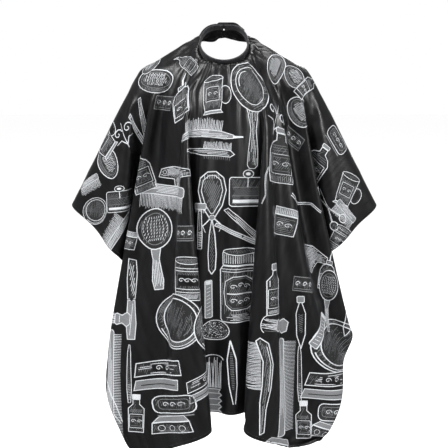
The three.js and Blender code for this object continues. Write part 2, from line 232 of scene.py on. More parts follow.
def flat_pattern():
    """Flat points and quads: a grid, with rings of quads between it and the neck hole.
    The cloth is open from the hole to its top edge at u = 0."""
    us = even(-CLOTH_WIDTH / 2, -PATCH)[:-1] + even(-PATCH, PATCH)
    us += even(PATCH, CLOTH_WIDTH / 2)[1:]
    vs = even(HEM, -PATCH)[:-1] + even(-PATCH, HOLE_TO_TOP)
    points, faces, known = [], [], {}

    def vertex(u, v, layer=0):
        key = (round(u, 6), round(v, 6), layer)
        if key not in known:
            known[key] = len(points)
            points.append((u, v))
        return known[key]

    for low, high in zip(us, us[1:]):
        for under, over in zip(vs, vs[1:]):
            if low < -PATCH - 1e-6 or high > PATCH + 1e-6 or under < -PATCH - 1e-6:
                faces.append([
                    vertex(low, under), vertex(high, under), vertex(high, over), vertex(low, over)])
    inner_us = [u for u in us if abs(u) <= PATCH + 1e-6]
    inner_vs = [v for v in vs if v >= -PATCH - 1e-6]
    rim = [(u, HOLE_TO_TOP) for u in inner_us if u > -1e-6]
    rim += [(PATCH, v) for v in inner_vs[::-1]][1:] + [(u, -PATCH) for u in inner_us[::-1]][1:]
    rim += [(-PATCH, v) for v in inner_vs][1:]
    rim += [(u, HOLE_TO_TOP) for u in inner_us if u < 1e-6][1:]
    last = len(rim) - 1
    rows = []
    for k, (rim_u, rim_v) in enumerate(rim):
        seen = math.atan2(rim_u, rim_v) % (2 * math.pi)
        seen = 2 * math.pi if k == last else seen
        turn = (seen + 2 * math.pi * k / last) / 2
        hole_u, hole_v = HOLE_RADIUS * math.sin(turn), HOLE_RADIUS * math.cos(turn)
        row = []
        for ring in range(PATCH_RINGS + 1):
            t = ring / PATCH_RINGS
            slit = 0 if 0 < k < last else 1 + (k == last)
            layer = slit + 10 * (ring < PATCH_RINGS)
            row.append(vertex(hole_u + (rim_u - hole_u) * t, hole_v + (rim_v - hole_v) * t, layer))
        rows.append(row)
    for near, far in zip(rows, rows[1:]):
        for ring in range(PATCH_RINGS):
            faces.append([near[ring], far[ring], far[ring + 1], near[ring + 1]])
    points = np.array(points)
    half = half_width_at(points[:, 1])
    across = np.abs(points[:, 0])
    squeezed = PATCH + (across - PATCH) * (half - PATCH) / (CLOTH_WIDTH / 2 - PATCH)
    points[:, 0] = np.where(across > PATCH, np.sign(points[:, 0]) * squeezed, points[:, 0])
    return points, faces


def round_hole(points):
    """Each flat point's angle from the slit, clockwise, and distance from the hole's edge."""
    turn = np.arctan2(points[:, 0], points[:, 1])
    return turn, np.hypot(points[:, 0], points[:, 1]) - HOLE_RADIUS


def hung_start(points, slit_left):
    """The sheet held out level, with its hole already gathered onto the neck line."""
    turn, past = round_hole(points)
    turn = np.where(slit_left, -np.abs(turn), turn)
    reach = 0.10
    ring = NECK_HALF_WIDTH * MM
    gathered = ring + past * (HOLE_RADIUS + reach - ring) / reach
    radius = np.where(past < reach, gathered, past + HOLE_RADIUS)
    near = 1 - np.clip((radius - ring) / 0.12, 0, 1)
    x = radius * np.sin(turn)
    y = radius * np.cos(turn) * (1 + (NECK_HALF_DEPTH / NECK_HALF_WIDTH - 1) * near)
    tilt = smooth(1 - (radius - ring) / 0.25)
    level = np.stack([
        x, y * (1 - tilt * (1 - math.cos(NECK_TILT))), y * math.sin(NECK_TILT) * tilt], 1)
    distance = turn / np.pi * HALF_GIRTH
    clear = np.where(distance < 0, -SLIT_GAP, SLIT_GAP)
    distance = np.where(np.abs(distance) < SLIT_GAP, clear, distance)
    distance = np.where(slit_left, np.minimum(distance, -SLIT_GAP), distance)
    seam = at_neck(distance, SEAM_OUT, SEAM_UP)
    across, deep = ring * np.sin(turn), NECK_HALF_DEPTH * MM * np.cos(turn)
    oval_seam = np.stack([across, deep * math.cos(NECK_TILT), deep * math.sin(NECK_TILT)], 1)
    level += (seam - oval_seam) * smooth(1 - past / 0.12)[:, None]
    drop = np.clip(past, 0, 0.06) * smooth(1 - np.abs(turn) / 1.2)
    level -= drop[:, None] * (0, 0.25, 0.75)
    down_back = at_neck(distance, SEAM_OUT, SEAM_UP - past / MM)
    nape = smooth((0.7 - np.abs(turn)) / 0.35) * smooth((0.08 - past) / 0.05)
    return level + (down_back - level) * nape[:, None]


# ---- the form that the cape hangs on, used for the drape only --------------------------------

def ball_chain(shape, start, end, first, last):
    """Balls from start to end, with radius first to last, which make a limb once remeshed."""
    gaps = 20
    for k in range(gaps + 1):
        place = Matrix.Translation(Vector(start).lerp(Vector(end), k / gaps))
        radius = first + (last - first) * k / gaps
        bmesh.ops.create_icosphere(shape, subdivisions=2, radius=radius, matrix=place)


def add_skirt(shape):
    """The spread lower half, with waves across its front that the hem follows."""
    rows = 24
    around = 96
    top = -0.50
    height = 0.62
    rings = []
    for row in range(rows + 1):
        t = row / rows
        ring = []
        for k in range(around):
            c = math.cos(math.tau * k / around)
            s = math.sin(math.tau * k / around)
            x = (SKIRT_TOP + SKIRT_SPREAD * t) * math.copysign(abs(c) ** 0.8, c)
            y = (0.12 + 0.04 * t) * math.copysign(abs(s) ** 0.8, s)
            if s < 0:
                wave = math.cos(math.tau * x / (WAVE_LENGTH * (0.4 + 0.6 * t)))
                y -= WAVE_DEPTH * t ** 2 * wave * min(1, -2 * s)
            ring.append(shape.verts.new((x, y, top - height * t)))
        rings.append(ring)
    for upper, lower in zip(rings, rings[1:]):
        for k in range(around):
            m = (k + 1) % around
            shape.faces.new((upper[k], upper[m], lower[m], lower[k]))
    shape.faces.new(rings[0])
    shape.faces.new(rings[-1][::-1])


def hanging_form():
    """Neck, shoulders, upper arms, torso and skirt in one skin that cloth collides with."""
    shape = bmesh.new()
    for side in (-1, 1):
        shoulder = (side * 0.178, 0.03, -0.1)
        ball_chain(shape, shoulder, (side * 0.325, 0.05, -0.355), 0.05, 0.042)
        ball_chain(shape, (0, 0.02, -0.05), shoulder, 0.055, 0.05)
    ball_chain(shape, (0, 0, -0.1), (0, 0.02, 0.1), 0.052, 0.05)
    for height, half in TORSO:
        place = Matrix.Translation((0, 0.005, height)) @ Matrix.Diagonal((*half, 1))
        bmesh.ops.create_icosphere(shape, subdivisions=4, radius=1, matrix=place)
    add_skirt(shape)
    mesh = bpy.data.meshes.new("form")
    shape.to_mesh(mesh)
    shape.free()
    form = bpy.data.objects.new("form", mesh)
    bpy.context.scene.collection.objects.link(form)
    remesh = form.modifiers.new("remesh", "REMESH")
    remesh.mode = "VOXEL"
    remesh.voxel_size = 0.012
    relax = form.modifiers.new("relax", "SMOOTH")
    relax.factor = 0.5
    relax.iterations = 6
    skin = evaluated(form)
    form.modifiers.clear()
    form.data = skin
    form.modifiers.new("collide", "COLLISION")
    form.collision.thickness_outer = 0.004
    form.collision.cloth_friction = 5
    form.collision.damping = 0.5
    return form


def drape(points, faces, start, frames=60):
    """Lets the sheet fall over the form from start, and returns where its points come to rest."""
    sheet = mesh_object("falling", start, faces, bpy.data.materials.new("none"), body=None)
    sheet.shape_key_add(name="Basis")
    rest = sheet.shape_key_add(name="rest")
    rest.data.foreach_set("co", laid_flat(points).ravel().astype(np.float32))
    rest.value = 0
    _, past = round_hole(points)
    nape = (np.abs(points[:, 0]) < 0.03) & (points[:, 1] > 0) & (past < 0.03)
    held = sheet.vertex_groups.new(name="held")
    held.add(np.where((past < 0.0008) | nape)[0].tolist(), 1.0, "REPLACE")
    form = hanging_form()
    cloth = sheet.modifiers.new("cloth", "CLOTH")
    how = cloth.settings
    how.quality = 7
    how.mass = 0.08
    how.air_damping = 1
    how.bending_model = "ANGULAR"
    how.tension_stiffness = how.compression_stiffness = 15
    how.tension_damping = how.compression_damping = 15
    how.shear_stiffness = how.shear_damping = 5
    how.bending_stiffness = 2
    how.bending_damping = 0.5
    how.vertex_group_mass = "held"
    how.rest_shape_key = rest
    touch = cloth.collision_settings
    touch.distance_min = 0.003
    touch.collision_quality = 3
    touch.use_self_collision = True
    touch.self_distance_min = 0.003
    touch.self_friction = 1
    scene = bpy.context.scene
    scene.frame_start = 1
    scene.frame_end = frames
    cloth.point_cache.frame_end = frames
    for number in range(1, frames + 1):
        scene.frame_set(number)
    settled = points_of(evaluated(sheet))
    scene.frame_set(1)
    for thing in (sheet, form):
        bpy.data.objects.remove(thing)
    return settled


# ---- from the settled sheet to cloth ---------------------------------------------------------

def refined(points, faces):
    """One round of subdivision, which rounds the folds and keeps the corners."""
    mesh = bpy.data.meshes.new("coarse")
    mesh.from_pydata([tuple(p) for p in points], [], faces)
    coarse = bpy.data.objects.new("coarse", mesh)
    bpy.context.scene.collection.objects.link(coarse)
    more = coarse.modifiers.new("more", "SUBSURF")
    more.levels = more.render_levels = 1
    more.boundary_smooth = "PRESERVE_CORNERS"
    fine = evaluated(coarse)
    bpy.data.objects.remove(coarse)
    return points_of(fine), [list(p.vertices) for p in fine.polygons]


def normals_of(points, faces):
    """Unit normals at the points of a quad mesh."""
    quads = np.array(faces)
    cross = np.cross(points[quads[:, 2]] - points[quads[:, 0]],
                     points[quads[:, 3]] - points[quads[:, 1]])
    total = np.zeros_like(points)
    for corner in range(4):
        np.add.at(total, quads[:, corner], cross)
    return total / np.maximum(np.linalg.norm(total, axis=1), 1e-12)[:, None]


# The small pleats below the band: how many go round the hole, their height in millimetres, and
# how far from the hole, in metres, they begin and end.
PLEATS = ((44, 1.5, 0.002, 0.045), (27, 2.4, 0.01, 0.085), (15, 2.6, 0.02, 0.13))


def gathers(flat):
    """Height of the small pleats that the elastic draws in, calmer near the slit."""
    turn, past = round_hole(flat)
    draw = random.Random(7)
    height = np.zeros(len(flat))
    for count, size, start, fade in PLEATS:
        ripple = np.zeros(len(flat))
        for _ in range(5):
            waves = count + draw.randint(-4, 4)
            ripple += np.sin(waves * turn + draw.uniform(0, 6.28)) / 2.2
        rise = smooth(past / start / 3)
        height += size * MM * ripple * rise * smooth(1 - past / fade)
    calm = smooth((np.abs(turn) - 0.25) / 0.5)
    return height * (0.25 + 0.75 * calm)


class Cloth:
    """The finished cloth surface, and the way from its flat pattern to space."""

    def __init__(self):
        points, faces = flat_pattern()
        slit_left = np.zeros(len(points), bool)
        for face in faces:
            if min(points[face, 0]) < -1e-6:
                slit_left[[i for i in face if abs(points[i, 0]) < 1e-6 and points[i, 1] > 0]] = True
        start = hung_start(points, slit_left)
        settled = drape(points, faces, start)
        self.at, self.faces = refined(settled, faces)
        flat, _ = refined(laid_flat(points), faces)
        self.flat = flat[:, :2]
        self.normal = normals_of(self.at, self.faces)
        self.at = self.at + self.normal * gathers(self.flat)[:, None]
        self.normal = normals_of(self.at, self.faces)
        corners = np.array(self.faces)
        self.triangles = np.concatenate([corners[:, [0, 1, 2]], corners[:, [0, 2, 3]]])
        self.tree = BVHTree.FromPolygons(laid_flat(self.flat).tolist(), self.triangles.tolist())

    def lift(self, spots, out=0.0):
        """Points and normals in space for flat spots, out metres off the outer face."""
        spots = np.asarray(spots, float)
        found = [self.tree.find_nearest((u, v, 0))[2] for u, v in spots]
        tri = self.triangles[found]
        a, b, c = (self.flat[tri[:, k]] for k in range(3))
        v0, v1, v2 = b - a, c - a, spots - a
        area = v0[:, 0] * v1[:, 1] - v1[:, 0] * v0[:, 1]
        s = (v2[:, 0] * v1[:, 1] - v1[:, 0] * v2[:, 1]) / area
        t = (v0[:, 0] * v2[:, 1] - v2[:, 0] * v0[:, 1]) / area
        share = np.stack([1 - s - t, s, t], 1)[:, :, None]
        place = (self.at[tri] * share).sum(1)
        normal = (self.normal[tri] * share).sum(1)
        normal /= np.maximum(np.linalg.norm(normal, axis=1), 1e-12)[:, None]
        out = np.asarray(out, float)
        return place + normal * (out[:, None] if out.ndim else out), normal

    def covers(self, spots):
        """Whether each flat spot lies on the cloth."""
        return np.array([
            self.tree.ray_cast((u, v, 0.01), (0, 0, -1))[0] is not None for u, v in spots])


# Metres of flat cloth to one UV unit, and what brings the whole cloth into the unit square.
UV_METRE = 1.3
UV_SHIFT = (0.65, 1.05)


def flat_uv(flat):
    return (np.asarray(flat)[:, :2] + UV_SHIFT) / UV_METRE


def build_cloth(cloth, material):
    """The cloth itself, given its thickness on the inner side."""
    piece = mesh_object("cape_cloth", cloth.at, cloth.faces, material, uv=flat_uv(cloth.flat))
    shell = piece.modifiers.new("shell", "SOLIDIFY")
    shell.thickness = CLOTH_THICKNESS
    shell.offset = -1
    solid = evaluated(piece)
    piece.modifiers.clear()
    piece.data = solid
    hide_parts("cape_panel")
    return piece


# ---- the print: a pen that draws on the flat cloth ------------------------------------------

def oval(x, y, rx, ry, count=22, turn=0.0):
    c = math.cos(math.radians(turn))
    s = math.sin(math.radians(turn))
    ring = [math.tau * k / count for k in range(count)]
    return [(x + rx * math.cos(a) * c - ry * math.sin(a) * s,
             y + rx * math.cos(a) * s + ry * math.sin(a) * c) for a in ring]


def box(x0, y0, x1, y1, round_by=0.0):
    """A rectangle, with rounded corners if round_by is given."""
    if not round_by:
        return [(x0, y0), (x1, y0), (x1, y1), (x0, y1)]
    corners = ((x1 - round_by, y0 + round_by, -90), (x1 - round_by, y1 - round_by, 0),
               (x0 + round_by, y1 - round_by, 90), (x0 + round_by, y0 + round_by, 180))
    spots = [(x, y, math.radians(a + b)) for x, y, a in corners for b in (0, 30, 60, 90)]
    return [(x + round_by * math.cos(a), y + round_by * math.sin(a)) for x, y, a in spots]


def mirrored(profile):
    """A closed outline from points on its right side, listed from the bottom to the top."""
    return list(profile) + [(-x, y) for x, y in reversed(profile)]


def arc(x, y, rx, ry, first, last, count=12):
    """Part of an oval, between two angles in degrees."""
    turns = [math.radians(first + (last - first) * k / count) for k in range(count + 1)]
    return [(x + rx * math.cos(a), y + ry * math.sin(a)) for a in turns]


def inset(outline, width):
    """The outline drawn in by width, each corner along its mitre."""
    area = sum(a[0] * b[1] - b[0] * a[1] for a, b in zip(outline, outline[1:] + outline[:1]))
    turn = 1 if area > 0 else -1
    drawn = []
    for before, here, after in zip(outline[-1:] + outline[:-1], outline, outline[1:] + outline[:1]):
        a = Vector((here[0] - before[0], here[1] - before[1])).normalized()
        b = Vector((after[0] - here[0], after[1] - here[1])).normalized()
        mitre = Vector((-(a.y + b.y), a.x + b.x)) * turn
        size = mitre.length
        if size > 0.2:
            mitre *= width * 2 / size ** 2
        drawn.append((here[0] + mitre.x, here[1] + mitre.y))
    return drawn


def scan(outline, spacing, angle):
    """Parallel lines across an outline, each as its two end points."""
    c = math.cos(math.radians(angle))
    s = math.sin(math.radians(angle))
    turned = [(x * c + y * s, y * c - x * s) for x, y in outline]
    level = min(y for _, y in turned) + spacing / 2
    top = max(y for _, y in turned)
    while level < top:
        cuts = sorted(
            x0 + (level - y0) * (x1 - x0) / (y1 - y0)
            for (x0, y0), (x1, y1) in zip(turned, turned[1:] + turned[:1])
            if (y0 < level) != (y1 < level))
        for near, far in zip(cuts[::2], cuts[1::2]):
            yield ((near * c - level * s, near * s + level * c),
                   (far * c - level * s, far * s + level * c))
        level += spacing


class Pen:
    """Draws closed shapes in millimetres round a placed, turned origin. Later shapes cover earlier
    ones. The inks are white, grey and dim, and "cloth" leaves the cloth bare."""

    def __init__(self):
        self.shapes = []
        self.draw = random.Random(11)
        self.put(0, 0)

    def put(self, u, v, turn=0, size=1.0, wide=1.0):
        """Starts a drawing with its middle at (u, v), turned by degrees and scaled. A wide above
        1 stretches it along its own x."""
        angle = math.radians(turn)
        self.where = (u, v, math.cos(angle) * size, math.sin(angle) * size, wide)

    def fill(self, outline, ink):
        """A plain shape, kept as its outline on the flat cloth in metres, anticlockwise."""
        u, v, c, s, wide = self.where
        spots = [((u + x * wide * c - y * s) * MM, (v + x * wide * s + y * c) * MM)
                 for x, y in outline]
        area = sum(a[0] * b[1] - b[0] * a[1] for a, b in zip(spots, spots[1:] + spots[:1]))
        self.shapes.append((spots if area > 0 else spots[::-1], ink))

    def shape(self, outline, width=2.2, ink="white", inside="dim"):
        """An outline of that width with another ink inside, hatched finely if it is dim."""
        self.fill(outline, ink)
        self.fill(inset(outline, width * BOLD), inside)
        if inside == "dim":
            self.hatch(inset(outline, width * BOLD + 2), 3.6, 64, 1.0, "grey", 0.45)

    def plate(self, outline, width):
        """A shape with a plain grey inside."""
        self.shape(outline, width, "white", "grey")

    def rule(self, x0, x1, y, width=1.8, ink="white", tip=None):
        """A level stroke."""
        self.line([(x0, y), (x1, y)], width, ink, tip)

    def line(self, path, width=1.8, ink="white", tip=None):
        """A stroke along a path; tip is its width at the far end, if it tapers."""
        tip = width if tip is None else tip
        width, tip = width * BOLD, tip * BOLD
        left, right = [], []
        last = len(path) - 1
        for k, (x, y) in enumerate(path):
            before, after = path[max(k - 1, 0)], path[min(k + 1, last)]
            dx, dy = after[0] - before[0], after[1] - before[1]
            half = (width + (tip - width) * k / last) / 2 / (math.hypot(dx, dy) or 1)
            left.append((x - dy * half, y + dx * half))
            right.append((x + dy * half, y - dx * half))
        self.fill(right + left[::-1], ink)

    def hatch(self, outline, spacing=4.5, angle=0, width=1.5, ink="grey", ragged=0.12):
        """Parallel strokes across an outline; ragged is how much of each end may be missing."""
        for near, far in scan(outline, spacing, angle):
            a = self.draw.uniform(0, ragged)
            b = 1 - self.draw.uniform(0, ragged)
            near, far = Vector(near), Vector(far)
            if (far - near).length * (b - a) > 1.2 * width:
                self.line([tuple(near.lerp(far, a)), tuple(near.lerp(far, b))], width, ink)

    def speckle(self, outline, spacing=4.0, size=1.3, ink="white", share=0.7):
        """Small dabs inside an outline, with share of the places taken."""
        for near, far in scan(outline, spacing, 0):
            for k in range(int(max(far[0] - near[0], 0) / spacing)):
                x = near[0] + (k + self.draw.uniform(0.1, 0.9)) * spacing
                y = near[1] + self.draw.uniform(-0.4, 0.4) * spacing
                if self.draw.random() < share:
                    r = size * self.draw.uniform(0.5, 1)
                    self.fill([(x - r, y), (x, y - 0.8 * r), (x + r, y), (x, y + r)], ink)

    def strokes(self, starts, reach, width=1.6, ink="white", spread=1.0):
        """A stroke from every start, by reach = (x, y), each a little different."""
        for x, y in starts:
            x1 = x + reach[0] + self.draw.uniform(-spread, spread)
            y1 = y + reach[1] * self.draw.uniform(0.85, 1.1)
            self.line([(x, y), (x1, y1)], width, ink, tip=width * 0.6)

    def scroll(self, x, y, size, width=1.8):
        """A curled ornament stroke, in place of any lettering."""
        path = [(x + size * (1 - t) * math.cos(8 * t), y + 0.7 * size * (1 - t) * math.sin(8 * t))
                for t in (k / 14 for k in range(14))]
        self.line(path, width, tip=width * 0.7)

    def label(self, x0, y0, x1, y1):
        """A blank label: a border, curled ornaments and a few rules."""
        self.shape(box(x0, y0, x1, y1, 2), 1.6)
        w = x1 - x0
        h = y1 - y0
        mid = (y0 + y1) / 2
        half = min(w, h) / 5
        for x in (x0 + 0.28 * w, x1 - 0.28 * w):
            self.scroll(x, mid, half, 1.6)
        for y in (y0 + 0.16 * h, y1 - 0.16 * h):
            self.rule(x0 + 0.14 * w, x1 - 0.14 * w, y, 1.3, "grey")


def spaced(first, last, count):
    """Evenly spaced values, both ends among them."""
    return [first + (last - first) * k / (count - 1) for k in range(count)]


def level_row(first, last, count, y):
    """Evenly spaced points at one height."""
    return [(x, y) for x in spaced(first, last, count)]


# ---- the print: grooming tools, drawn upright round their middles ----------------------------

def oval_brush(pen):
    pen.shape(oval(0, 0, 44, 25), 2.4)
    pen.shape(oval(0, 2, 36, 17), 1.4, "grey")
    for y in (-8, -2, 4, 10):
        pen.strokes(level_row(-27 + abs(y), 27 - abs(y), 11, y), (1.5, 6), 1.7)
    pen.line(arc(0, -3, 41, 21, 200, 340), 2.0)
    pen.hatch(mirrored([(0, -23), (24, -19), (36, -10), (0, -16)]), 3.2, 90, 1.4)


def nozzle_bottle(pen):
    body = mirrored([(21, -52), (22, -5), (17, 8), (8, 14)])
    pen.shape(body, 2.2)
    pen.hatch(inset(body, 4), 3.6, 90, 1.3)
    pen.shape(box(-9, 14, 9, 24, 1.5), 1.8)
    pen.rule(-6, 6, 19, 4, "grey")
    pen.line([(0, 24), (0, 36), (6, 50)], 5, "white", 2)
    pen.label(-19, -44, 19, -14)


def mug(pen):
    pen.shape(oval(40, -2, 18, 24), 2.4)
    pen.fill(oval(39, -2, 12, 17), "cloth")
    body = mirrored([(26, -40), (30, -20), (32, 30), (34, 44)])
    pen.shape(body, 2.4)
    pen.shape(oval(0, 44, 34, 9), 2.2)
    pen.hatch(mirrored([(24, -34), (27, -14), (28, 28)]), 4.4, 90, 1.5)
    pen.label(-22, -16, 22, 20)
    pen.plate(mirrored([(32, -47), (26, -39)]), 2)


def paddle_mirror(pen):
    """A long hand mirror with a grained handle."""
    handle = mirrored([(7, -138), (13, -128), (12, -90), (7, -40), (12, -2), (20, 16)])
    pen.shape(handle, 2.2)
    pen.hatch(inset(handle, 3.5), 3.4, 88, 1.3, "white", 0.35)
    head = oval(0, 70, 52, 66, 36)
    pen.shape(head, 3)
    pen.hatch(inset(head, 4), 5.2, 35, 1.7, "grey", 0.3)
    pen.shape(oval(0, 72, 38, 51, 32), 2.2)
    pen.speckle(oval(0, 72, 34, 47, 28), 5.2, 1.5, "grey", 0.75)
    pen.line(arc(-4, 74, 26, 38, 110, 200), 2.2)
    pen.line(arc(8, 66, 24, 36, -70, 10), 1.6, "grey")


def scissors(pen):
    for side in (-1, 1):
        pen.line([(side * -13, -48), (0, -4), (side * 9, 56)], 5, "white", 1.6)
        pen.line([(side * -12, -44), (0, -2), (side * 7, 48)], 1.6, "cloth", 0.8)
        pen.shape(oval(side * 15, -62, 11, 15), 2.8)
    pen.fill(oval(0, -4, 3.4, 3.4, 10), "grey")


def long_brush(pen):
    back = mirrored([(70, -20), (92, -16), (94, -8), (60, -4)])
    pen.plate(back, 2)
    pen.hatch(inset(back, 2.5), 3, 4, 1.3, "white", 0.3)
    pen.strokes(level_row(-60, 62, 34, -4), (1.5, 24), 2.1, "white", 1.4)
    pen.strokes(level_row(-58, 60, 17, -3), (1, 17), 1.5, "grey")
    pen.line([(90, -13), (116, -7)], 7, "white", 4)


def clothes_brush(pen):
    body = [(-78, 2), (-40, -7), (0, -12), (64, -12), (74, -4), (64, 4), (0, 4), (-36, 4), (-76, 9)]
    pen.shape(body, 2.2)
    pen.hatch(inset(body, 3), 3.2, 0, 1.4, "white", 0.3)
    pen.strokes(level_row(2, 64, 22, 4), (1, 15), 1.8, "white")
    pen.strokes(level_row(4, 62, 14, -12), (1, -8), 1.5, "grey")


def flask(pen):
    body = mirrored([(27, -66), (30, -50), (30, 10), (22, 26), (9, 36), (9, 52)])
    pen.shape(body, 2.4)
    pen.plate(box(-11, 52, 11, 64, 2), 2)
    pen.label(-24, -44, 24, 4)
    for y in (12, 18, 24):
        pen.rule(-20, 20, y, 1.5, "grey")
    for x in (-26, -20, 20, 26):
        pen.line([(x, -60), (x, -48)], 1.6)
    pen.hatch(mirrored([(24, -64), (27, -48)]), 3, 90, 1.3)


def flourish(pen):
    for side in (-1, 1):
        pen.scroll(side * 15, 6, 13, 2.6)
        pen.line([(0, -18), (side * 10, -8), (side * 26, -10)], 3, "white", 1)
    pen.line([(0, -24), (0, 22)], 2.6, "white", 1)


def ribbon_bar(pen):
    """A narrow blank ribbon with ornament."""
    pen.shape(box(-32, -12, 32, 12), 1.6, "grey")
    for x in (-20, 0, 20):
        pen.scroll(x, 0, 7, 1.7)
    pen.rule(-28, 28, -8, 1.2, "grey")


def hand_dryer(pen):
    body = [(-60, -4), (-52, 18), (-16, 26), (52, 20), (58, 4), (26, -4), (14, -36), (-8, -36),
            (-12, -8)]
    pen.shape(body, 2.4)
    pen.hatch(inset(body, 3), 3, 8, 1.5, "white", 0.25)
    pen.fill(oval(-38, 10, 9, 9, 14), "cloth")
    pen.shape(oval(-38, 10, 6, 6, 12), 1.4)
    for x in (38, 43, 48):
        pen.line([(x, 4), (x, 19)], 1.8, "cloth")


def loop_mirror(pen):
    """A drop-shaped mirror with a knotted ribbon and a looped handle."""
    for side in (-1, 1):
        pen.line([(0, -6), (side * 7, -40), (side * 10, -80), (side * 8, -112), (0, -122)], 3.4)
        pen.line([(0, -2), (side * 22, -20), (side * 16, -34)], 4, "white", 1.5)
    pen.hatch(mirrored([(3, -116), (6, -80), (3, -30)]), 4.2, 60, 1.4)
    head = mirrored([(8, -4), (24, 20), (33, 52), (27, 78), (10, 91)])
    pen.shape(head, 2.8)
    inner = inset(head, 8)
    pen.shape(inner, 2)
    pen.hatch(inset(inner, 3), 4.2, 60, 1.6, "grey", 0.25)
    pen.strokes(level_row(-16, 16, 7, 76), (0, 9), 1.5)
    pen.plate(oval(0, -4, 8, 6, 14), 1.8)


def wire_stand(pen):
    pen.shape(box(-45, -42, 45, 34, 8), 2.6)
    for y in (-14, 8):
        pen.rule(-38, 38, y, 1.5, "grey")
    pen.fill(box(-36, -32, 36, -24), "white")
    pen.rule(-36, 36, -34, 1.6, "grey")
    pen.shape(oval(0, 42, 14, 11), 2.4)
    pen.fill(oval(0, 42, 6, 4, 12), "white")
    pen.line([(0, 31), (0, 8)], 2.6)


def wide_comb(pen):
    pen.plate(box(-66, 4, 66, 24, 6), 2)
    pen.hatch(box(-62, 8, 62, 20), 2.6, 0, 1.3, "white", 0.3)
    pen.strokes(level_row(-62, 62, 42, 4), (0, -26), 1.8, "white", 0.2)


def bent_rod(pen):
    path = [(-10, 58), (-12, 30), (-4, 0), (6, -28), (4, -58)]
    pen.line(path, 6, "white", 4)
    pen.line(path, 2.4, "cloth", 1.6)


def soap_block(pen):
    pen.shape([(-36, -30), (26, -38), (36, 8), (-24, 18)], 2.4)
    pen.plate([(-24, 18), (36, 8), (38, 26), (-18, 36)], 2.2)
    pen.strokes([(x, 20 - 0.15 * (x + 20)) for x in spaced(-18, 32, 14)], (1, 12), 1.7)
    pen.hatch([(-30, -26), (22, -32), (30, 4), (-20, 12)], 4.2, -9, 1.5, "grey", 0.3)
    pen.scroll(-8, -8, 10, 2)
    pen.scroll(12, -12, 9, 2)


def open_razor(pen):
    blade = [(-62, 52), (-50, 60), (52, -44), (44, -54), (26, -46)]
    pen.shape(blade, 2.2)
    pen.hatch(inset(blade, 3), 3.4, -45, 1.5, "white", 0.3)
    scales = [(-84, 4), (-78, 14), (40, -48), (58, -54), (52, -66), (34, -60)]
    pen.plate(scales, 2.4)
    pen.line([(-76, 6), (40, -56)], 1.8, "white")
    for x, y in ((-66, 2), (-14, -25), (44, -56)):
        pen.fill(oval(x, y, 3.4, 3.4, 10), "cloth")


def safety_razor(pen):
    pen.plate(box(-14, 36, 14, 50, 3), 2)
    pen.strokes(level_row(-11, 11, 7, 36), (0, -7), 1.6, "white", 0.1)
    pen.shape(mirrored([(5, -50), (6, -20), (4, 34)]), 1.8)
    for y in spaced(-44, -14, 9):
        pen.line([(-5, y), (5, y + 2)], 1.5)
    pen.line([(0, -8), (0, 28)], 1.8, "grey")


def round_paddle(pen):
    pen.plate(mirrored([(8, -78), (11, -60), (7, -20), (12, 4)]), 2.2)
    pen.hatch(mirrored([(6, -72), (8, -60), (4, -20)]), 3, 90, 1.4, "white")
    head = oval(0, 38, 36, 40, 28)
    pen.shape(head, 2.6)
    pen.shape(oval(0, 38, 28, 31, 24), 1.6, "grey")
    for y in spaced(16, 58, 8):
        half = 25 * math.sqrt(max(1 - ((y - 38) / 29) ** 2, 0))
        pen.strokes(level_row(-half, half, 8, y), (1.5, 4.5), 1.8)


def banded_cup(pen):
    body = mirrored([(30, -54), (34, -30), (40, 44)])
    pen.shape(body, 2.6)
    pen.shape(oval(0, 46, 40, 10), 2.4)
    pen.hatch(oval(0, 46, 34, 6), 3.4, 0, 1.4)
    for y in (26, 19, -26, -34):
        half = 33 + y * 0.09
        pen.rule(-half, half, y, 2.2)
    pen.hatch(mirrored([(33, -22), (36, 14)]), 4.6, 90, 1.5, "grey", 0.3)
    pen.fill(box(-26, -18, 26, 10), "cloth")
    for x in (-15, 0, 15):
        pen.scroll(x, -4, 9, 2.2)
    pen.hatch(mirrored([(27, -50), (31, -38)]), 3, 0, 1.4, "white")


def ribbed_jar(pen):
    body = mirrored([(42, -86), (46, -78), (46, 34), (40, 44)])
    pen.shape(body, 2.6)
    pen.hatch(inset(body, 4), 5, 90, 1.4, "grey", 0.35)
    pen.shape(box(-40, 44, 40, 76, 4), 2.4)
    pen.strokes(level_row(-35, 35, 16, 49), (0, 20), 1.8, "white", 0.2)
    pen.shape(oval(0, 76, 39, 9), 2.2)
    for y in (36, 30):
        pen.rule(-42, 42, y, 1.8)
    badge = mirrored([(20, -58), (34, -46), (38, -18), (34, 8), (16, 20)])
    pen.shape(badge, 2.4)
    pen.shape(inset(badge, 5), 1.4, "grey")
    for x, y in ((-16, -4), (0, 0), (16, -4), (-16, -36), (0, -40), (16, -36)):
        pen.scroll(x, y, 8, 2)
    pen.rule(-30, 30, -20, 3.4)
    pen.hatch(mirrored([(40, -82), (43, -66)]), 3.2, 0, 1.4, "white", 0.3)


def thin_stick(pen):
    pen.plate(box(-6, -46, 6, 40, 3), 1.8)
    pen.fill(box(-4, 30, 4, 38), "white")
    for y in spaced(-38, 20, 8):
        pen.line([(-3, y), (3, y + 3)], 1.4)


def tall_tube(pen):
    pen.shape(mirrored([(18, -62), (19, 20), (9, 34), (8, 44)]), 2.2)
    pen.plate(box(-10, 44, 10, 60, 2), 1.8)
    pen.label(-16, -46, 16, 0)
    pen.hatch(mirrored([(15, -58), (16, -50)]), 2.6, 0, 1.3, "white")
    pen.line([(-13, 6), (-13, 20)], 1.8)


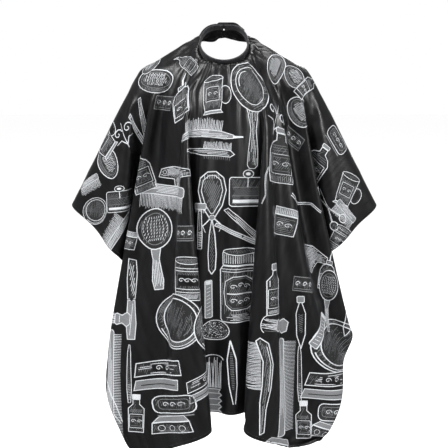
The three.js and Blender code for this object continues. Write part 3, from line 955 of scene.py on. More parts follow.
def folded_razor(pen):
    pen.plate(mirrored([(9, -98), (13, -60), (9, -4)]), 2.2)
    pen.line([(-3, -88), (3, -12)], 1.8)
    pen.shape([(-9, -2), (9, -2), (13, 60), (12, 92), (-3, 98), (-8, 50)], 2.2)
    pen.hatch([(-4, 6), (6, 6), (9, 60), (8, 86), (-2, 90), (-4, 50)], 3.4, 78, 1.5, "white", 0.35)
    pen.fill(oval(0, -2, 4, 4, 10), "cloth")


def ring_mirror(pen):
    """A round mirror, seen a little from the side."""
    pen.shape(oval(0, 0, 72, 70, 40, 12), 3)
    pen.hatch(oval(0, 0, 68, 66, 36), 3, 35, 1.5, "grey", 0.2)
    pen.shape(oval(3, 3, 57, 56, 36, 12), 3.4)
    pen.hatch(oval(3, 3, 50, 49, 30), 5.5, 62, 1.4, "dim", 0.3)
    pen.speckle(oval(3, 3, 50, 49, 30), 7, 1.2, "grey", 0.6)
    pen.line(arc(3, 3, 48, 47, 110, 200, 14), 2.2, "grey", 1)
    pen.line(arc(3, 3, 44, 43, -60, 20, 12), 2.6, "grey", 1)
    pen.line(arc(0, 0, 65, 63, 200, 330, 18), 3.4, "white", 1.5)
    pen.hatch([(-20, 38), (-4, 42), (-38, -14), (-42, 0)], 5, 60, 1.4)


def powder_puff(pen):
    pen.shape(oval(0, 0, 32, 24), 2.4)
    pen.speckle(oval(0, 0, 27, 20), 4.4, 1.7, "white", 0.9)
    pen.line(arc(0, 0, 27, 19, 190, 350), 1.6, "grey")


def shaving_brush(pen):
    pen.plate(mirrored([(10, -36), (16, -26), (9, -14), (13, -2), (10, 4)]), 2.2)
    pen.rule(-7, 7, -8, 2)
    pen.strokes(level_row(-9, 9, 9, 4), (0, 30), 2, "white", 5)
    pen.strokes(level_row(-12, 12, 6, 5), (0, 22), 1.5, "grey", 4)
    pen.line(arc(0, 28, 17, 9, 10, 170, 8), 1.8)


def loop_razor(pen):
    for side in (-1, 1):
        pen.line([(0, -62), (side * 10, -30), (side * 11, 20), (side * 3, 44)], 3, "white", 2.4)
    pen.plate(box(-9, 44, 9, 60, 3), 2)
    pen.hatch(mirrored([(5, -24), (6, 18)]), 4, 20, 1.4)


def tall_comb(pen):
    pen.plate(box(-17, -136, 1, 136, 7), 2.2)
    pen.hatch(box(-13, -128, -3, 128), 2.8, 90, 1.3, "white", 0.3)
    pen.strokes([(1, y) for y in spaced(-124, 124, 64)], (17, 0), 1.9, "white", 0.2)


def slim_rod(pen):
    pen.shape(mirrored([(3, -112), (5, -60), (4, 80), (2, 112)]), 1.6)
    for y in spaced(-100, -40, 10):
        pen.line([(-3, y), (3, y + 2)], 1.4)


def tweezers(pen):
    for side in (-1, 1):
        pen.line([(0, 74), (side * 8, 30), (side * 7, -30), (side * 2, -74)], 3.6, "white", 1.8)
    pen.hatch(mirrored([(2, -40), (4, 10), (2, 50)]), 4.2, 0, 1.5)


def hair_brush(pen):
    """A long brush seen from the side, bristles to the left."""
    back = [(6, -122), (16, -118), (20, -60), (30, -10), (34, 50), (24, 104), (8, 120), (0, 112),
            (12, 60), (10, 0), (6, -40)]
    pen.shape(back, 2.6)
    pen.hatch(inset(back, 4), 4, 84, 1.5, "grey", 0.3)
    pen.line([(24, -16), (28, 50), (20, 96)], 2)
    for y in spaced(-8, 106, 34):
        half = 14 * math.sqrt(max(1 - ((y - 50) / 62) ** 2, 0)) + 12
        x = 9 if y < 70 else 9 - (y - 70) * 0.2
        pen.line([(x, y), (x - half - 8, y + pen.draw.uniform(1, 5))], 2, "white", 1.2)
    pen.line([(10, -114), (12, -50)], 2, "grey")


def blade_box(pen):
    pen.shape([(-62, -8), (-56, 20), (60, 30), (64, 2)], 2.4)
    pen.hatch([(-56, -4), (-50, 15), (55, 25), (58, 5)], 3.4, 5, 1.5, "white", 0.35)
    pen.fill(box(-26, 2, 26, 16), "cloth")
    pen.scroll(-12, 9, 8, 2)
    pen.scroll(12, 10, 8, 2)
    pen.plate([(-66, -34), (-60, -14), (54, -6), (52, -26)], 2)
    pen.line([(-50, -24), (44, -17)], 2.4, "cloth")


def small_bottle(pen):
    pen.shape(mirrored([(17, -46), (18, 12), (8, 22), (8, 34)]), 2.2)
    pen.fill(box(-9, 34, 9, 46), "white")
    pen.label(-15, -36, 15, -2)
    pen.hatch(mirrored([(14, 2), (14, 10)]), 2.6, 0, 1.3)


def soap_bar(pen):
    pen.shape(box(-42, -18, 42, 18, 12), 2.4)
    pen.shape(box(-33, -10, 33, 11, 7), 1.5, "grey")
    for x in (-18, 0, 18):
        pen.scroll(x, 0, 8, 2)
    pen.rule(-36, 36, -22, 3, "grey")


def coil_brush(pen):
    """A tall brush with a turned handle."""
    profile = [(13, -98)]
    for y in spaced(-90, 10, 9):
        profile += [(15, y), (9, y + 5.5)]
    pen.plate(mirrored(profile + [(12, 22)]), 2.2)
    for y in spaced(-88, 12, 9):
        pen.rule(-11, 11, y, 2)
    pen.strokes(level_row(-12, 12, 12, 24), (0, 62), 2, "white", 3)
    pen.line(arc(0, 86, 16, 9, 0, 180, 10), 2.2)


def trinket_box(pen):
    pen.shape([(-54, -22), (-50, 8), (50, 12), (54, -18)], 2.4)
    pen.plate([(-50, 8), (-34, 24), (40, 28), (50, 12)], 2)
    for x in (-30, 0, 30):
        pen.shape(oval(x, -7, 9, 8, 12), 1.7)
    pen.hatch([(-48, -19), (-46, -13), (48, -10), (48, -16)], 2.4, 2, 1.3)


# Where each tool is printed: its middle (u, v) on the flat cloth in millimetres, its turn in
# degrees, its size, and how much wider than its own proportions it is. Later rows lie on top.
PRINT_ROWS = [
    (oval_brush, -210, -35, -40, 1.3, 1), (nozzle_bottle, -140, -125, -6, 1.06, 1.5),
    (ribbon_bar, -205, -105, -35, 1.43, 0.7), (mug, -30, -165, 3, 0.8, 1.1),
    (paddle_mirror, 80, -195, 0, 0.84, 1.4), (open_razor, -315, -95, -62, 1.08, 0.6),
    (long_brush, -70, -225, -6, 0.89, 1.2), (clothes_brush, -55, -270, -4, 0.9, 1.3),
    (flourish, 180, -165, -2, 1.6, 0.9), (flask, 225, -240, 16, 1.05, 1.7),
    (oval_brush, 265, -95, -22, 1.36, 0.7), (flask, -120, -45, 31, 0.83, 0.6),
    (oval_brush, 160, -25, 90, 0.86, 1.4), (oval_brush, 210, -20, -33, 1.06, 0.7),
    (hand_dryer, -220, -295, -24, 0.97, 1.3), (loop_mirror, -30, -430, 0, 1.23, 1),
    (wire_stand, 70, -365, 0, 0.98, 1.2), (wide_comb, -280, -330, -27, 1.39, 1),
    (bent_rod, 360, -305, 84, 1.14, 1.7), (soap_block, 295, -390, 18, 1.07, 1.2),
    (open_razor, 75, -460, 0, 0.84, 1.4), (safety_razor, -65, -455, -1, 1.16, 1.1),
    (ribbon_bar, -230, -445, -20, 1.6, 0.6), (round_paddle, -360, -440, -15, 1.36, 1.2),
    (banded_cup, -260, -555, -23, 1, 1.2), (ribbed_jar, 55, -605, 1, 1.12, 1.2),
    (thin_stick, -40, -640, 1, 1.15, 1.8), (tall_tube, 315, -565, 21, 1.07, 1.7),
    (ribbon_bar, 415, -520, 16, 1.6, 0.6), (folded_razor, -480, -535, -19, 1.1, 1.3),
    (ring_mirror, -345, -640, -18, 1.01, 1.2), (powder_puff, -20, -725, 2, 1.1, 1.3),
    (shaving_brush, -540, -570, 66, 1.15, 1.1), (shaving_brush, 360, -650, 101, 1.6, 0.8),
    (loop_razor, 445, -615, 24, 1.15, 1), (ring_mirror, 600, -630, 14, 1.04, 1.5),
    (tall_comb, -610, -735, -21, 1.1, 1.1), (slim_rod, -555, -720, -23, 0.7, 2),
    (blade_box, -460, -750, -18, 1.4, 1), (soap_bar, -445, -835, -10, 1.29, 1.6),
    (coil_brush, -25, -905, 0, 1.21, 1.6), (tweezers, 35, -830, 5, 1.12, 1.4),
    (hair_brush, 350, -815, 23, 1.04, 1.5), (tall_comb, 465, -790, 22, 0.96, 2),
    (slim_rod, 500, -745, 25, 0.69, 1.9), (small_bottle, -580, -825, -24, 1.13, 1.1),
    (small_bottle, 560, -855, 23, 1.11, 1.1), (blade_box, 595, -740, 14, 1.36, 0.9),
    (soap_bar, 635, -805, 18, 1.33, 0.9), (trinket_box, -475, -885, -10, 0.97, 1.6),
    (trinket_box, 635, -865, 0, 0.96, 1), (tweezers, -635, -755, 6, 1.08, 1.3),
    (flourish, -380, -60, -23, 1.59, 0.8), (flask, -335, -230, -3, 0.87, 1.3),
    (oval_brush, -470, -65, -108, 1.33, 0.8), (wire_stand, -520, -160, -46, 0.73, 1.5),
    (wide_comb, -555, -55, -26, 0.79, 0.7), (ring_mirror, -600, -110, -29, 0.5, 1.2),
    (soap_block, -435, -385, -23, 0.72, 1.1), (mug, -440, -5, 1, 1.1, 0.9),
    (long_brush, -600, -195, 3, 1.24, 0.6), (folded_razor, -555, -350, -37, 0.76, 1.5),
    (flask, 425, -125, 17, 0.87, 1.3), (ribbon_bar, 275, -165, -9, 1.6, 0.6),
    (mug, 540, -100, 27, 0.91, 1), (scissors, 535, -170, 89, 0.88, 1.2),
    (soap_bar, 420, -35, -4, 1.18, 0.8), (wide_comb, 585, -145, 7, 0.89, 0.7),
    (hand_dryer, 450, -430, -2, 1.14, 0.7), (nozzle_bottle, 505, -440, 10, 1.12, 0.9),
    (round_paddle, 535, -520, 16, 1.11, 0.7), (banded_cup, 630, -195, 21, 0.64, 1.2),
    (oval_brush, -205, 20, 30, 0.75, 0.9), (small_bottle, 255, -10, -16, 1.17, 0.8),
    (thin_stick, 515, -610, -16, 1.22, 2), (loop_razor, 615, -545, 3, 0.79, 1.5),
    (bent_rod, 190, -335, 0, 0.8, 1.2), (banded_cup, -160, -572, 0, 1, 1.2),
    (tall_tube, 190, -585, 0, 1, 1.2), (ring_mirror, -212, -698, 0, 1, 1.2),
    (shaving_brush, 215, -692, 80, 1, 1.2), (hair_brush, 140, -850, 0, 1.05, 1.2),
    (blade_box, -300, -815, 0, 1, 1.2), (trinket_box, -300, -955, 0, 1, 1.2),
    (trinket_box, 490, -945, 0, 0.9, 1.2), (tweezers, -165, -870, 6, 1, 1.2),
    (clothes_brush, -490, -270, 60, 0.85, 1.2), (shaving_brush, -370, 70, -20, 0.9, 1.2),
    (small_bottle, 500, 25, -40, 0.9, 1.2), (hand_dryer, 420, -230, -40, 0.85, 1.2),
    (shaving_brush, 345, 40, 20, 0.9, 1.2), (thin_stick, 150, 70, 90, 0.8, 1.2),
]


def draw_print():
    """Every shape of the print, as (outline, ink) in the order they are laid down."""
    pen = Pen()
    for tool, u, v, turn, size, wide in PRINT_ROWS:
        pen.put(u, v, turn, size, wide)
        tool(pen)
    return pen.shapes


def paint(outline, middles, tones, tone):
    """Sets the tone of every middle that the outline winds round. The middles are sorted by u."""
    low, high = outline.min(0), outline.max(0)
    first, last = np.searchsorted(middles[:, 0], (low[0], high[0]))
    near = middles[first:last]
    turns = np.zeros(len(near), int)
    for (u0, v0), (u1, v1) in zip(outline, np.roll(outline, -1, 0)):
        if v0 == v1:
            continue
        crosses = (v0 <= near[:, 1]) != (v1 <= near[:, 1])
        beyond = u0 + (near[:, 1] - v0) * (u1 - u0) / (v1 - v0) > near[:, 0]
        turns += np.where(crosses & beyond, 1 if v1 > v0 else -1, 0)
    tones[first:last][turns != 0] = tone


def stamp(cloth, name, shapes, inks):
    """Lays a group of shapes on the cloth as one piece, following every facet of its surface."""
    spots = np.array([spot for outline, _ in shapes for spot in outline])
    low, high = spots.min(0) - CELL, spots.max(0) + CELL
    inside = ((cloth.flat > low) & (cloth.flat < high)).all(1)
    triangles = cloth.triangles[inside[cloth.triangles].any(1)]
    used, local = np.unique(triangles, return_inverse=True)
    local = local.reshape(-1, 3)
    edges = np.unique(np.sort(local[:, [[0, 1], [1, 2], [2, 0]]].reshape(-1, 2), 1), axis=0)
    points = [Vector(p) for p in cloth.flat[used]]
    edges = edges.tolist()
    for outline, _ in shapes:
        start, count = len(points), len(outline)
        edges += [(start + k, start + (k + 1) % count) for k in range(count)]
        points += [Vector(p) for p in outline]
    found = delaunay_2d_cdt(points, edges, [], 0, 1e-7, False)
    at = np.array([tuple(p) for p in found[0]])
    faces = np.array(found[2])
    order = np.argsort(at[faces].mean(1)[:, 0])
    faces = faces[order]
    middles = at[faces].mean(1)
    ink_names = list(inks)
    tones = np.full(len(faces), -1)
    for outline, ink in shapes:
        paint(np.array(outline), middles, tones, ink_names.index(ink) if ink in inks else -1)
    size = np.cross(at[faces[:, 1]] - at[faces[:, 0]], at[faces[:, 2]] - at[faces[:, 0]])
    good = (tones >= 0) & (np.abs(size) > 1e-10)
    good[good] = cloth.covers(middles[good])
    faces, tones = faces[good], tones[good]
    used, local = np.unique(faces, return_inverse=True)
    place, _ = cloth.lift(at[used], PRINT_LIFT)
    piece = mesh_object(name, place, local.reshape(-1, 3).tolist(), inks[ink_names[0]],
                        uv=flat_uv(at[used]))
    for other in ink_names[1:]:
        piece.data.materials.append(inks[other])
    piece.data.polygons.foreach_set("material_index", tones.astype(np.int32))
    return piece


# ---- materials -------------------------------------------------------------------------------

class Finish:
    """A node material round one Principled shader."""

    def __init__(self, name, colour, roughness, **constants):
        self.material = bpy.data.materials.new(name)
        self.material.use_nodes = True
        self.tree = self.material.node_tree
        self.shader = self.tree.nodes["Principled BSDF"]
        self.colour = colour
        self.set("Base Color", (*colour, 1))
        self.set("Roughness", roughness)
        for key, value in constants.items():
            self.set(key.replace("_", " "), value)
        self.spot = self.node("ShaderNodeTexCoord")

    def set(self, socket, value):
        self.shader.inputs[socket].default_value = value

    def node(self, kind, inputs=(), **settings):
        """A new node; each input is a value or the socket that feeds it."""
        made = self.tree.nodes.new(kind)
        for key, value in settings.items():
            setattr(made, key, value)
        for key, value in dict(inputs).items():
            if isinstance(value, bpy.types.NodeSocket):
                self.tree.links.new(value, made.inputs[key])
            else:
                made.inputs[key].default_value = value
        return made

    def scaled(self, scale, turn=0.0, source="Object"):
        return self.node("ShaderNodeMapping", {
            "Vector": self.spot.outputs[source], "Scale": scale,
            "Rotation": (0, 0, turn)}).outputs[0]

    def noise(self, scale, detail=3, source="Object", rough=0.55):
        return self.node("ShaderNodeTexNoise", {
            "Vector": self.scaled(scale, source=source), "Scale": 1.0,
            "Detail": detail, "Roughness": rough}).outputs["Fac"]

    def waves(self, scale, turn=0.0, source="Object", distortion=0.0, direction="X"):
        return self.node("ShaderNodeTexWave", {
            "Vector": self.scaled(scale, turn, source), "Scale": 1.0, "Distortion": distortion,
            "Detail": 1.0}, wave_type="BANDS", bands_direction=direction).outputs["Fac"]

    def tint(self, factor, dark, light, low=0.35, high=0.65):
        """Colour that runs from dark to light times the base colour."""
        ramp = self.node("ShaderNodeValToRGB", {"Fac": factor})
        ramp.color_ramp.elements[0].position = low
        ramp.color_ramp.elements[1].position = high
        ramp.color_ramp.elements[0].color = (*[c * dark for c in self.colour], 1)
        ramp.color_ramp.elements[1].color = (*[min(c * light, 1) for c in self.colour], 1)
        self.tree.links.new(ramp.outputs[0], self.shader.inputs["Base Color"])

    def rough(self, factor, low, high):
        """Roughness that runs from low to high over the middle of the factor's range."""
        ramp = self.node("ShaderNodeMapRange", {
            "Value": factor, "From Min": 0.25, "From Max": 0.75, "To Min": low, "To Max": high})
        self.tree.links.new(ramp.outputs[0], self.shader.inputs["Roughness"])

    def bump(self, height, distance, strength=1.0):
        """Adds a bump under those already there."""
        made = self.node("ShaderNodeBump", {
            "Height": height, "Distance": distance, "Strength": strength})
        socket = self.shader.inputs["Normal"]
        if socket.is_linked:
            self.tree.links.new(socket.links[0].from_socket, made.inputs["Normal"])
        self.tree.links.new(made.outputs[0], socket)


def per_metre(count_u, count_v):
    """Mapping scale for that many units to a metre of flat cloth."""
    return (count_u * UV_METRE, count_v * UV_METRE, 1)


def satin():
    """Black polyester satin: a fine twill, with long soft highlights down the cloth."""
    made = Finish("black_satin", (0.0042, 0.0042, 0.0048), 0.36, Sheen_Weight=0.02,
                  Sheen_Roughness=0.35, Specular_IOR_Level=0.38)
    made.tint(made.noise(per_metre(55, 9), 3, "UV"), 0.7, 1.4)
    made.rough(made.noise(per_metre(90, 12), 4, "UV"), 0.27, 0.42)
    made.bump(made.noise(per_metre(70, 7), 3, "UV"), 0.0011, 0.5)
    made.bump(made.noise(per_metre(150, 60), 2, "UV"), 0.0004, 0.35)
    made.bump(made.waves(per_metre(2600, 1900), 0.6, "UV", 0.6), 0.00006, 0.35)
    return made.material


def ink(name, level, worn):
    """Chalky printed ink, rubbed thin in places by the weave; worn is how dark it gets there."""
    made = Finish(name, (level * 0.97, level, level * 1.04), 0.6, Specular_IOR_Level=0.3)
    grain = made.noise(per_metre(900, 900), 3, "UV", 0.7)
    made.tint(grain, worn, 1.12, 0.36, 0.56)
    made.rough(made.noise(per_metre(400, 400), 2, "UV"), 0.5, 0.7)
    made.bump(made.noise(per_metre(70, 7), 3, "UV"), 0.0011, 0.5)
    made.bump(made.waves(per_metre(2600, 1900), 0.6, "UV", 0.6), 0.00006, 0.5)
    return made.material


def band_cloth():
    """Black plain-weave tape, duller than the satin."""
    made = Finish("band_tape", (0.012, 0.012, 0.014), 0.55, Sheen_Weight=0.15,
                  Sheen_Roughness=0.4)
    made.tint(made.noise((160, 160, 160), 3), 0.7, 1.4)
    made.rough(made.noise((260, 260, 260), 3), 0.45, 0.68)
    made.bump(made.waves((1900, 1900, 0), 0.0, "Object", 0.4), 0.00008, 0.6)
    made.bump(made.waves((0, 1500, 1500), 0.0, "Object", 0.4, "Z"), 0.00008, 0.6)
    return made.material


def elastic_tape():
    """Dull black woven elastic with cross ribs."""
    made = Finish("elastic_tape", (0.02, 0.02, 0.022), 0.8)
    made.tint(made.noise((300, 300, 300), 2), 0.7, 1.5)
    made.rough(made.noise((500, 500, 500), 2), 0.7, 0.9)
    made.bump(made.waves((0, 900, 900), 0.0, "Object", 0.3, "Z"), 0.0002, 0.9)
    return made.material


def thread():
    """Black polyester thread, twisted."""
    made = Finish("sewing_thread", (0.022, 0.022, 0.025), 0.42, Sheen_Weight=0.2)
    made.tint(made.noise((900, 900, 900), 2), 0.6, 1.5)
    made.rough(made.noise((700, 700, 700), 2), 0.34, 0.55)
    made.bump(made.waves((4000, 4000, 4000), 0.7), 0.00005, 0.7)
    return made.material


def nickel():
    """Plated press studs: fine turning marks, a few dull spots."""
    made = Finish("nickel_plate", (0.62, 0.61, 0.585), 0.22, Metallic=1.0)
    made.tint(made.noise((240, 240, 240), 4), 0.82, 1.12)
    made.rough(made.noise((500, 500, 500), 4), 0.14, 0.36)
    made.bump(made.noise((1800, 300, 1800), 2), 0.00003, 0.4)
    return made.material


# ---- neckband, tabs, hem and stitching ----------------------------------------------------------

def rounded_section(half_out, half_up, round_by, steps=4):
    """A rounded rectangle as (out, up) pairs."""
    section = []
    for x, y, start in ((1, -1, -90), (1, 1, 0), (-1, 1, 90), (-1, -1, 180)):
        for k in range(steps + 1):
            a = math.radians(start + 90 * k / steps)
            section.append((x * (half_out - round_by) + round_by * math.cos(a),
                            y * (half_up - round_by) + round_by * math.sin(a)))
    return section


def tube_faces(rings, sides, start=0, flip=False, ends=True):
    """Faces through rings of that many points each, numbered from start, and over both ends. They
    face out where the rings turn clockwise seen from the tube's far end, or the other way if
    flipped."""
    faces = []
    for a in range(start, start + (rings - 1) * sides, sides):
        b = a + sides
        for k in range(sides):
            m = (k + 1) % sides
            faces.append([a + k, b + k, b + m, a + m])
    if ends:
        last = start + (rings - 1) * sides
        faces.append([start + k for k in range(sides)])
        faces.append([last + k for k in reversed(range(sides))])
    return [face[::-1] for face in faces] if flip else faces


def build_casing(material):
    """The shirred casing: two layers of tape pleated by the elastic that runs inside."""
    draw = random.Random(3)
    step = 0.9
    stations = np.arange(SLIT_GAP, 2 * HALF_GIRTH - SLIT_GAP, step)
    phases = []
    phase = 0.0
    for _ in stations:
        phase += step / draw.uniform(3.2, 5.6)
        phases.append(phase)
    pleat = 0.5 + 0.5 * np.cos(np.array(phases) * math.tau)
    outer = rounded_section(2.2, BAND_HALF_HEIGHT, 1.9)
    inner = rounded_section(0.95, 6.6, 0.6)
    points = []
    for (out, up) in outer:
        seam = 1 - 0.5 * math.exp(-((abs(up) - BAND_STITCH_UP) / 0.5) ** 2)
        depth = 0.95 * seam
        points.append(at_neck(stations, out - math.copysign(1, out) * depth * (1 - pleat),
                              up * (1 - 0.02 * (1 - pleat))))
    shell = np.stack(points, 1)
    lining = np.stack([at_neck(stations, out, up) for out, up in inner], 1)
    n, m = len(outer), len(inner)
    everything = np.concatenate([shell.reshape(-1, 3), lining.reshape(-1, 3)])
    base = len(stations) * n
    faces = tube_faces(len(stations), n, flip=True, ends=False)
    faces += tube_faces(len(stations), m, base, ends=False)
    for end in (0, len(stations) - 1):
        for k in range(n):
            j = (k + 1) % n
            face = [end * n + k, end * n + j, base + end * m + j, base + end * m + k]
            faces.append(face if end else face[::-1])
    piece = mesh_object("neckband_casing", everything, faces, material)
    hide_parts("neckband_casing")
    return piece


def tab_half(distance, tip):
    """Half a tab's height at that distance along, less towards its round tip."""
    reach = min(abs(distance - tip) / TAB_HALF_HEIGHT, 1)
    return TAB_HALF_HEIGHT * math.sqrt(max(1 - (1 - reach) ** 2, 0))


def build_tab(name, tip, root, base_at, material):
    """A folded strip with soft edges and a round tip, pressed in along its stitching."""
    inward = math.copysign(1, root - tip)
    ends = [tip + inward * TAB_HALF_HEIGHT * (1 - math.cos(a)) for a in spaced(0.08, 1.5, 12)]
    straight = spaced(tip + inward * TAB_HALF_HEIGHT, root, round(abs(root - tip) / 1.2))
    across = 22
    rings = []
    for d in ends + straight:
        half = tab_half(d, tip)
        base = base_at(d)
        ring = []
        for k in range(across):
            a = math.tau * k / across
            wide = math.copysign(abs(math.sin(a)) ** 0.6, math.sin(a))
            thick = math.copysign(abs(math.cos(a)) ** 0.35, math.cos(a))
            edge = TAB_HALF_HEIGHT - abs(wide) * half
            tip_edge = abs(d - tip)
            near = min(edge, tip_edge)
            groove = 0.16 * math.exp(-((near - TAB_STITCH_INSET) / 0.45) ** 2)
            out = base + TAB_THICKNESS / 2 * (1 + thick * (1 - groove * 2))
            ring.append(at_neck(d, out, wide * half))
        rings.append(np.array(ring))
    faces = tube_faces(len(rings), across, flip=inward > 0)
    return mesh_object(name, np.concatenate(rings), faces, material, body=None)


# A stitch's rings: where each is along its length, and its radius over the thread's.
STITCH_RINGS = ((-0.5, 0.25), (-0.3, 1), (0, 1.15), (0.3, 1), (0.5, 0.25))


def stitch_mesh(places, directions, outs, length, radius):
    """A thread stitch at each place: a small lozenge along its direction, raised towards out."""
    points, faces = [], []
    sides = 6
    for place, along, out in zip(places, directions, outs):
        side = np.cross(along, out)
        start = len(points)
        for t, r in STITCH_RINGS:
            for k in range(sides):
                a = math.tau * k / sides
                points.append(place + along * t * length
                              + (side * math.cos(a) + out * (math.sin(a) + 0.3)) * radius * r)
        faces += tube_faces(len(STITCH_RINGS), sides, start)
    return points, faces


def stitches_on_neck(rows):
    """Stitches along lines on the band or tabs. A row gives points along, out and up."""
    places, directions, outs = [], [], []
    for row in rows:
        path = at_neck(*[np.array(part) for part in row])
        lifted = at_neck(row[0], np.array(row[1]) + 1.0, np.array(row[2]))
        along = np.gradient(path, axis=0)
        along /= np.linalg.norm(along, axis=1)[:, None]
        out = lifted - path
        out /= np.linalg.norm(out, axis=1)[:, None]
        places += list(path)
        directions += list(along)
        outs += list(out)
    return stitch_mesh(places, directions, outs, length=0.0021, radius=0.00022)


def tab_stitch_rows(tip, root, base_at, pitch=3.0):
    """One row of stitches down a tab, round its tip and back, as points along, out and up."""
    inward = math.copysign(1, root - tip)
    inner = TAB_HALF_HEIGHT - TAB_STITCH_INSET
    row = []
    straight = np.arange(0, abs(root - tip) - TAB_HALF_HEIGHT - 3, pitch)
    for x in straight[::-1]:
        row.append((tip + inward * (TAB_HALF_HEIGHT + x), inner))
    for a in spaced(75, -75, 7):
        row.append((tip + inward * (TAB_HALF_HEIGHT - inner * math.cos(math.radians(a))),
                    inner * math.sin(math.radians(a))))
    for x in straight:
        row.append((tip + inward * (TAB_HALF_HEIGHT + x), -inner))
    d = [p[0] for p in row]
    up = [p[1] for p in row]
    out = [base_at(x) + TAB_THICKNESS - 0.1 for x in d]
    return d, out, up


def under_base(d):
    """How far out the under tab's inner face lies, at distance d along the neck line."""
    t = float(smooth((d - UNDER_TAB_ROOT) / (UNDER_TAB_BEND - UNDER_TAB_ROOT)))
    return SEWN_BASE + (UNDER_TAB_BASE - SEWN_BASE) * t


def over_base(d):
    """The same for the over tab, which climbs over the under tab and its studs."""
    drop_from = OVER_TAB_HINGE + 2
    drop_to = OVER_TAB_ROOT - 12
    t = float(smooth((d - drop_from) / (drop_to - drop_from)))
    return OVER_TAB_BASE + (SEWN_BASE - OVER_TAB_BASE) * t


def build_tabs(material, thread_finish):
    """Both tabs and their stitching. The over tab bends between its sewn root and its hinge."""
    under = build_tab("under_tab", UNDER_TAB_TIP, UNDER_TAB_ROOT, under_base, material)
    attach(under, "cape")
    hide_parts("under_tab")
    over = build_tab("over_tab", OVER_TAB_TIP, OVER_TAB_ROOT, over_base, material)
    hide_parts("over_tab", "over_tab_root")
    over_seam = mesh_object("over_tab_stitching", *stitches_on_neck(
        [tab_stitch_rows(OVER_TAB_TIP, OVER_TAB_ROOT, over_base)]), thread_finish, body=None)
    bend_from = at_neck(OVER_TAB_HINGE + 8, 8.0, 0.0)
    bend_to = at_neck(OVER_TAB_HINGE - 7, 11.0, 0.0)
    for piece in (over, over_seam):
        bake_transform(piece)
    d, out, up = tab_stitch_rows(UNDER_TAB_TIP, UNDER_TAB_ROOT, under_base)
    pitch = 3.0
    around = np.arange(pitch, 2 * HALF_GIRTH - pitch, pitch)
    band_face = np.full(len(around), 2.05)
    rows = [(d, out, up)]
    for height in (-BAND_STITCH_UP, BAND_STITCH_UP):
        rows.append((around, band_face, np.full(len(around), height)))
    seam = mesh_object("neckband_stitching", *stitches_on_neck(rows), thread_finish)


def build_neck_seam(material):
    """The rolled seam that joins the cloth to the foot of the band."""
    stations = np.arange(SLIT_GAP, 2 * HALF_GIRTH - SLIT_GAP, 1.5)
    sides = 8
    rings = []
    for k in range(sides):
        a = math.tau * k / sides
        bulge = 0.75 + 0.12 * np.sin(stations * 1.9 + 2 * np.sin(stations * 0.31))
        rings.append(at_neck(stations, 0.9 + bulge * math.cos(a), -8.95 + 0.75 * math.sin(a)))
    rings = np.stack(rings, 1)
    faces = tube_faces(len(stations), sides, flip=True)
    piece = mesh_object("neck_seam", rings.reshape(-1, 3), faces, material)
    return piece


def edge_path(step):
    """The cloth's cut edge as flat points, from the slit round the hem and back, with the inward
    direction at each point."""
    top = HOLE_TO_TOP
    right = [(0.0, HOLE_RADIUS + 0.001), (0.0, top), (half_width_at(top), top)]
    right += [(half_width_at(v), v) for v in np.linspace(top, HEM, 500)[1:]] + [(0.0, HEM)]
    path = np.array(right + [(-u, v) for u, v in right[::-1][1:]])
    along = np.concatenate([[0], np.cumsum(np.linalg.norm(np.diff(path, axis=0), axis=1))])
    corners = along[[1, 2]]
    corners = np.concatenate([corners, along[-1] - corners])
    marks = np.unique(np.concatenate([np.arange(0, along[-1], step), corners, [along[-1]]]))
    spots, ahead, behind = (
        np.stack([np.interp(marks + ahead_by, along, path[:, k]) for k in (0, 1)], 1)
        for ahead_by in (0, 1e-4, -1e-4))
    tangent = ahead - behind
    tangent /= np.maximum(np.linalg.norm(tangent, axis=1), 1e-12)[:, None]
    return spots, np.stack([tangent[:, 1], -tangent[:, 0]], 1)


def build_hem(cloth, material):
    """The turned hem: the cut edge folded to the inside and pressed flat. Its section is how far
    each point lies in from the edge and out of the cloth."""
    spots, inward = edge_path(0.006)
    section = ((0.0002, 0.00035), (-0.0006, -0.0003), (0.0002, -0.00105), (HEM_WIDTH, -0.00105),
               (HEM_WIDTH + 0.0004, -0.00075), (HEM_WIDTH, -0.0005), (0.001, -0.0005),
               (0.0012, 0.00012))
    rings = [cloth.lift(spots + inward * into, out)[0] for into, out in section]
    rings = np.stack(rings, 1)
    outermost = 1
    beyond, level = section[outermost]
    edge, _ = cloth.lift(spots, level)
    nearer, _ = cloth.lift(spots - inward * beyond, level)
    rings[:, outermost] = edge - (nearer - edge)
    count = len(section)
    faces = tube_faces(len(spots), count)
    piece = mesh_object("hem_fold", rings.reshape(-1, 3), faces, material,
                        uv=np.repeat(flat_uv(spots), count, 0))
    return piece


def build_hem_stitching(cloth, material):
    """Stitches along the hem, on the outer and the inner face."""
    spots, inward = edge_path(0.0038)
    spots = spots + inward * (HEM_WIDTH - 0.0015)
    points, faces = [], []
    for out, side in ((0.0002, 1), (-0.0011, -1)):
        place, normal = cloth.lift(spots, out)
        along = np.gradient(place, axis=0)
        along /= np.maximum(np.linalg.norm(along, axis=1), 1e-9)[:, None]
        more, more_faces = stitch_mesh(
            place, along, normal * side, length=0.0026, radius=0.0002)
        faces += [[k + len(points) for k in face] for face in more_faces]
        points += more
    piece = mesh_object("hem_stitching", points, faces, material)
    return piece


# ---- floor, light and camera -----------------------------------------------------------------

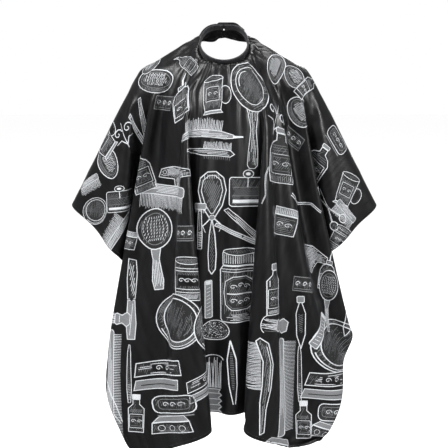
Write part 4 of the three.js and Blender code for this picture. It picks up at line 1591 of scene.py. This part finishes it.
def build_stage(lowest):
    """A wide pale floor, well under the hanging cape and left out of the satin's reflections."""
    level = lowest - 0.35
    size = 14
    floor = mesh_object("floor", [(-size, -size, level), (size, -size, level), (size, size, level),
                                  (-size, size, level)], [[0, 1, 2, 3]],
                        Finish("pale_floor", (0.93, 0.93, 0.93), 0.9).material, body=None)
    floor.visible_glossy = False
    floor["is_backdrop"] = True


def add_light(name, place, aim, size, power):
    """A round soft light at place that looks at aim."""
    data = bpy.data.lights.new(name, "AREA")
    data.shape = "DISK"
    data.size = size
    data.energy = power
    lamp = bpy.data.objects.new(name, data)
    lamp.location = place
    lamp.rotation_euler = (Vector(aim) - Vector(place)).to_track_quat("-Z", "Y").to_euler()
    bpy.context.scene.collection.objects.link(lamp)


def build_sky():
    """An even overhead light that whitens the floor, left out of the satin's reflections."""
    sun = bpy.data.lights.new("sky", "SUN")
    sun.angle = math.radians(90)
    sun.energy = 3.0
    lamp = bpy.data.objects.new("sky", sun)
    lamp.rotation_euler = (math.radians(18), math.radians(-12), 0)
    lamp.visible_glossy = False
    bpy.context.scene.collection.objects.link(lamp)


def build_surroundings():
    """A white room that shows bright behind the cape but lights it only softly."""
    world = bpy.data.worlds.new("studio")
    world.use_nodes = True
    tree = world.node_tree
    soft = tree.nodes["Background"]
    soft.inputs["Color"].default_value = (1, 1, 1, 1)
    soft.inputs["Strength"].default_value = 0.22
    bright = tree.nodes.new("ShaderNodeBackground")
    bright.inputs["Color"].default_value = (1, 1, 1, 1)
    path = tree.nodes.new("ShaderNodeLightPath")
    mix = tree.nodes.new("ShaderNodeMixShader")
    tree.links.new(path.outputs["Is Camera Ray"], mix.inputs[0])
    tree.links.new(soft.outputs[0], mix.inputs[1])
    tree.links.new(bright.outputs[0], mix.inputs[2])
    tree.links.new(mix.outputs[0], tree.nodes["World Output"].inputs[0])
    bpy.context.scene.view_settings.view_transform = "Standard"
    bpy.context.scene.world = world


def build_lights():
    middle = (0, 0, -0.45)
    add_light("key", (-1.9, -1.7, 1.7), middle, 0.8, 95)
    add_light("fill", (2.2, -1.7, 0.7), middle, 0.9, 55)
    add_light("top", (0.3, 0.4, 2.6), middle, 1.4, 50)
    add_light("back", (0.6, 2.6, 1.2), middle, 1.6, 60)
    build_sky()
    build_surroundings()


def build_camera():
    """A long lens in front of the cape, a little above it."""
    data = bpy.data.cameras.new("camera")
    data.sensor_width = 36
    data.lens = 72.2
    camera = bpy.data.objects.new("camera", data)
    bpy.context.scene.collection.objects.link(camera)
    elevation = math.radians(12)
    distance = 2.4
    aim = Vector((0, 0, -0.47))
    back = Vector((0, -math.cos(elevation), math.sin(elevation)))
    camera.location = aim + back * distance
    camera.rotation_euler = (-back).to_track_quat("-Z", "Y").to_euler()
    bpy.context.scene.camera = camera


# ---- the whole cape --------------------------------------------------------------------------

def build_print(cloth):
    """The print in upright strips, one piece each, numbered from -X to +X."""
    inks = {"white": ink("ink_white", 0.57, 0.27), "grey": ink("ink_grey", 0.17, 0.2),
            "dim": ink("ink_dim", 0.015, 0.3)}
    shapes = draw_print()
    middles = np.array([np.mean(outline, 0)[0] for outline, _ in shapes])
    regions = middles // PRINT_REGION
    strips = []
    for number, region in enumerate(np.unique(regions)):
        chosen = [shapes[k] for k in np.where(regions == region)[0]]
        strips.append(stamp(cloth, f"print_{number + 1}", chosen, inks))
    return strips


def finish_hardware():
    """Plates the CAD part's own studs and sockets, and gives the hidden elastic its finish."""
    plate = nickel()
    elastic = elastic_tape()
    for name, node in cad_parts.items():
        if name.startswith(("stud", "socket")):
            node.data.materials[0] = plate
        elif name == "neck_elastic":
            node.data.materials[0] = elastic


def build_cape():
    black_satin = satin()
    tape = band_cloth()
    black_thread = thread()
    cloth = Cloth()
    cape = build_cloth(cloth, black_satin)
    hem = build_hem(cloth, black_satin)
    hem_seam = build_hem_stitching(cloth, black_thread)
    prints = build_print(cloth)
    build_casing(tape)
    build_neck_seam(tape)
    build_tabs(tape, black_thread)
    finish_hardware()


build_camera()
build_lights()
build_cape()
build_stage(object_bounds()[0][2])
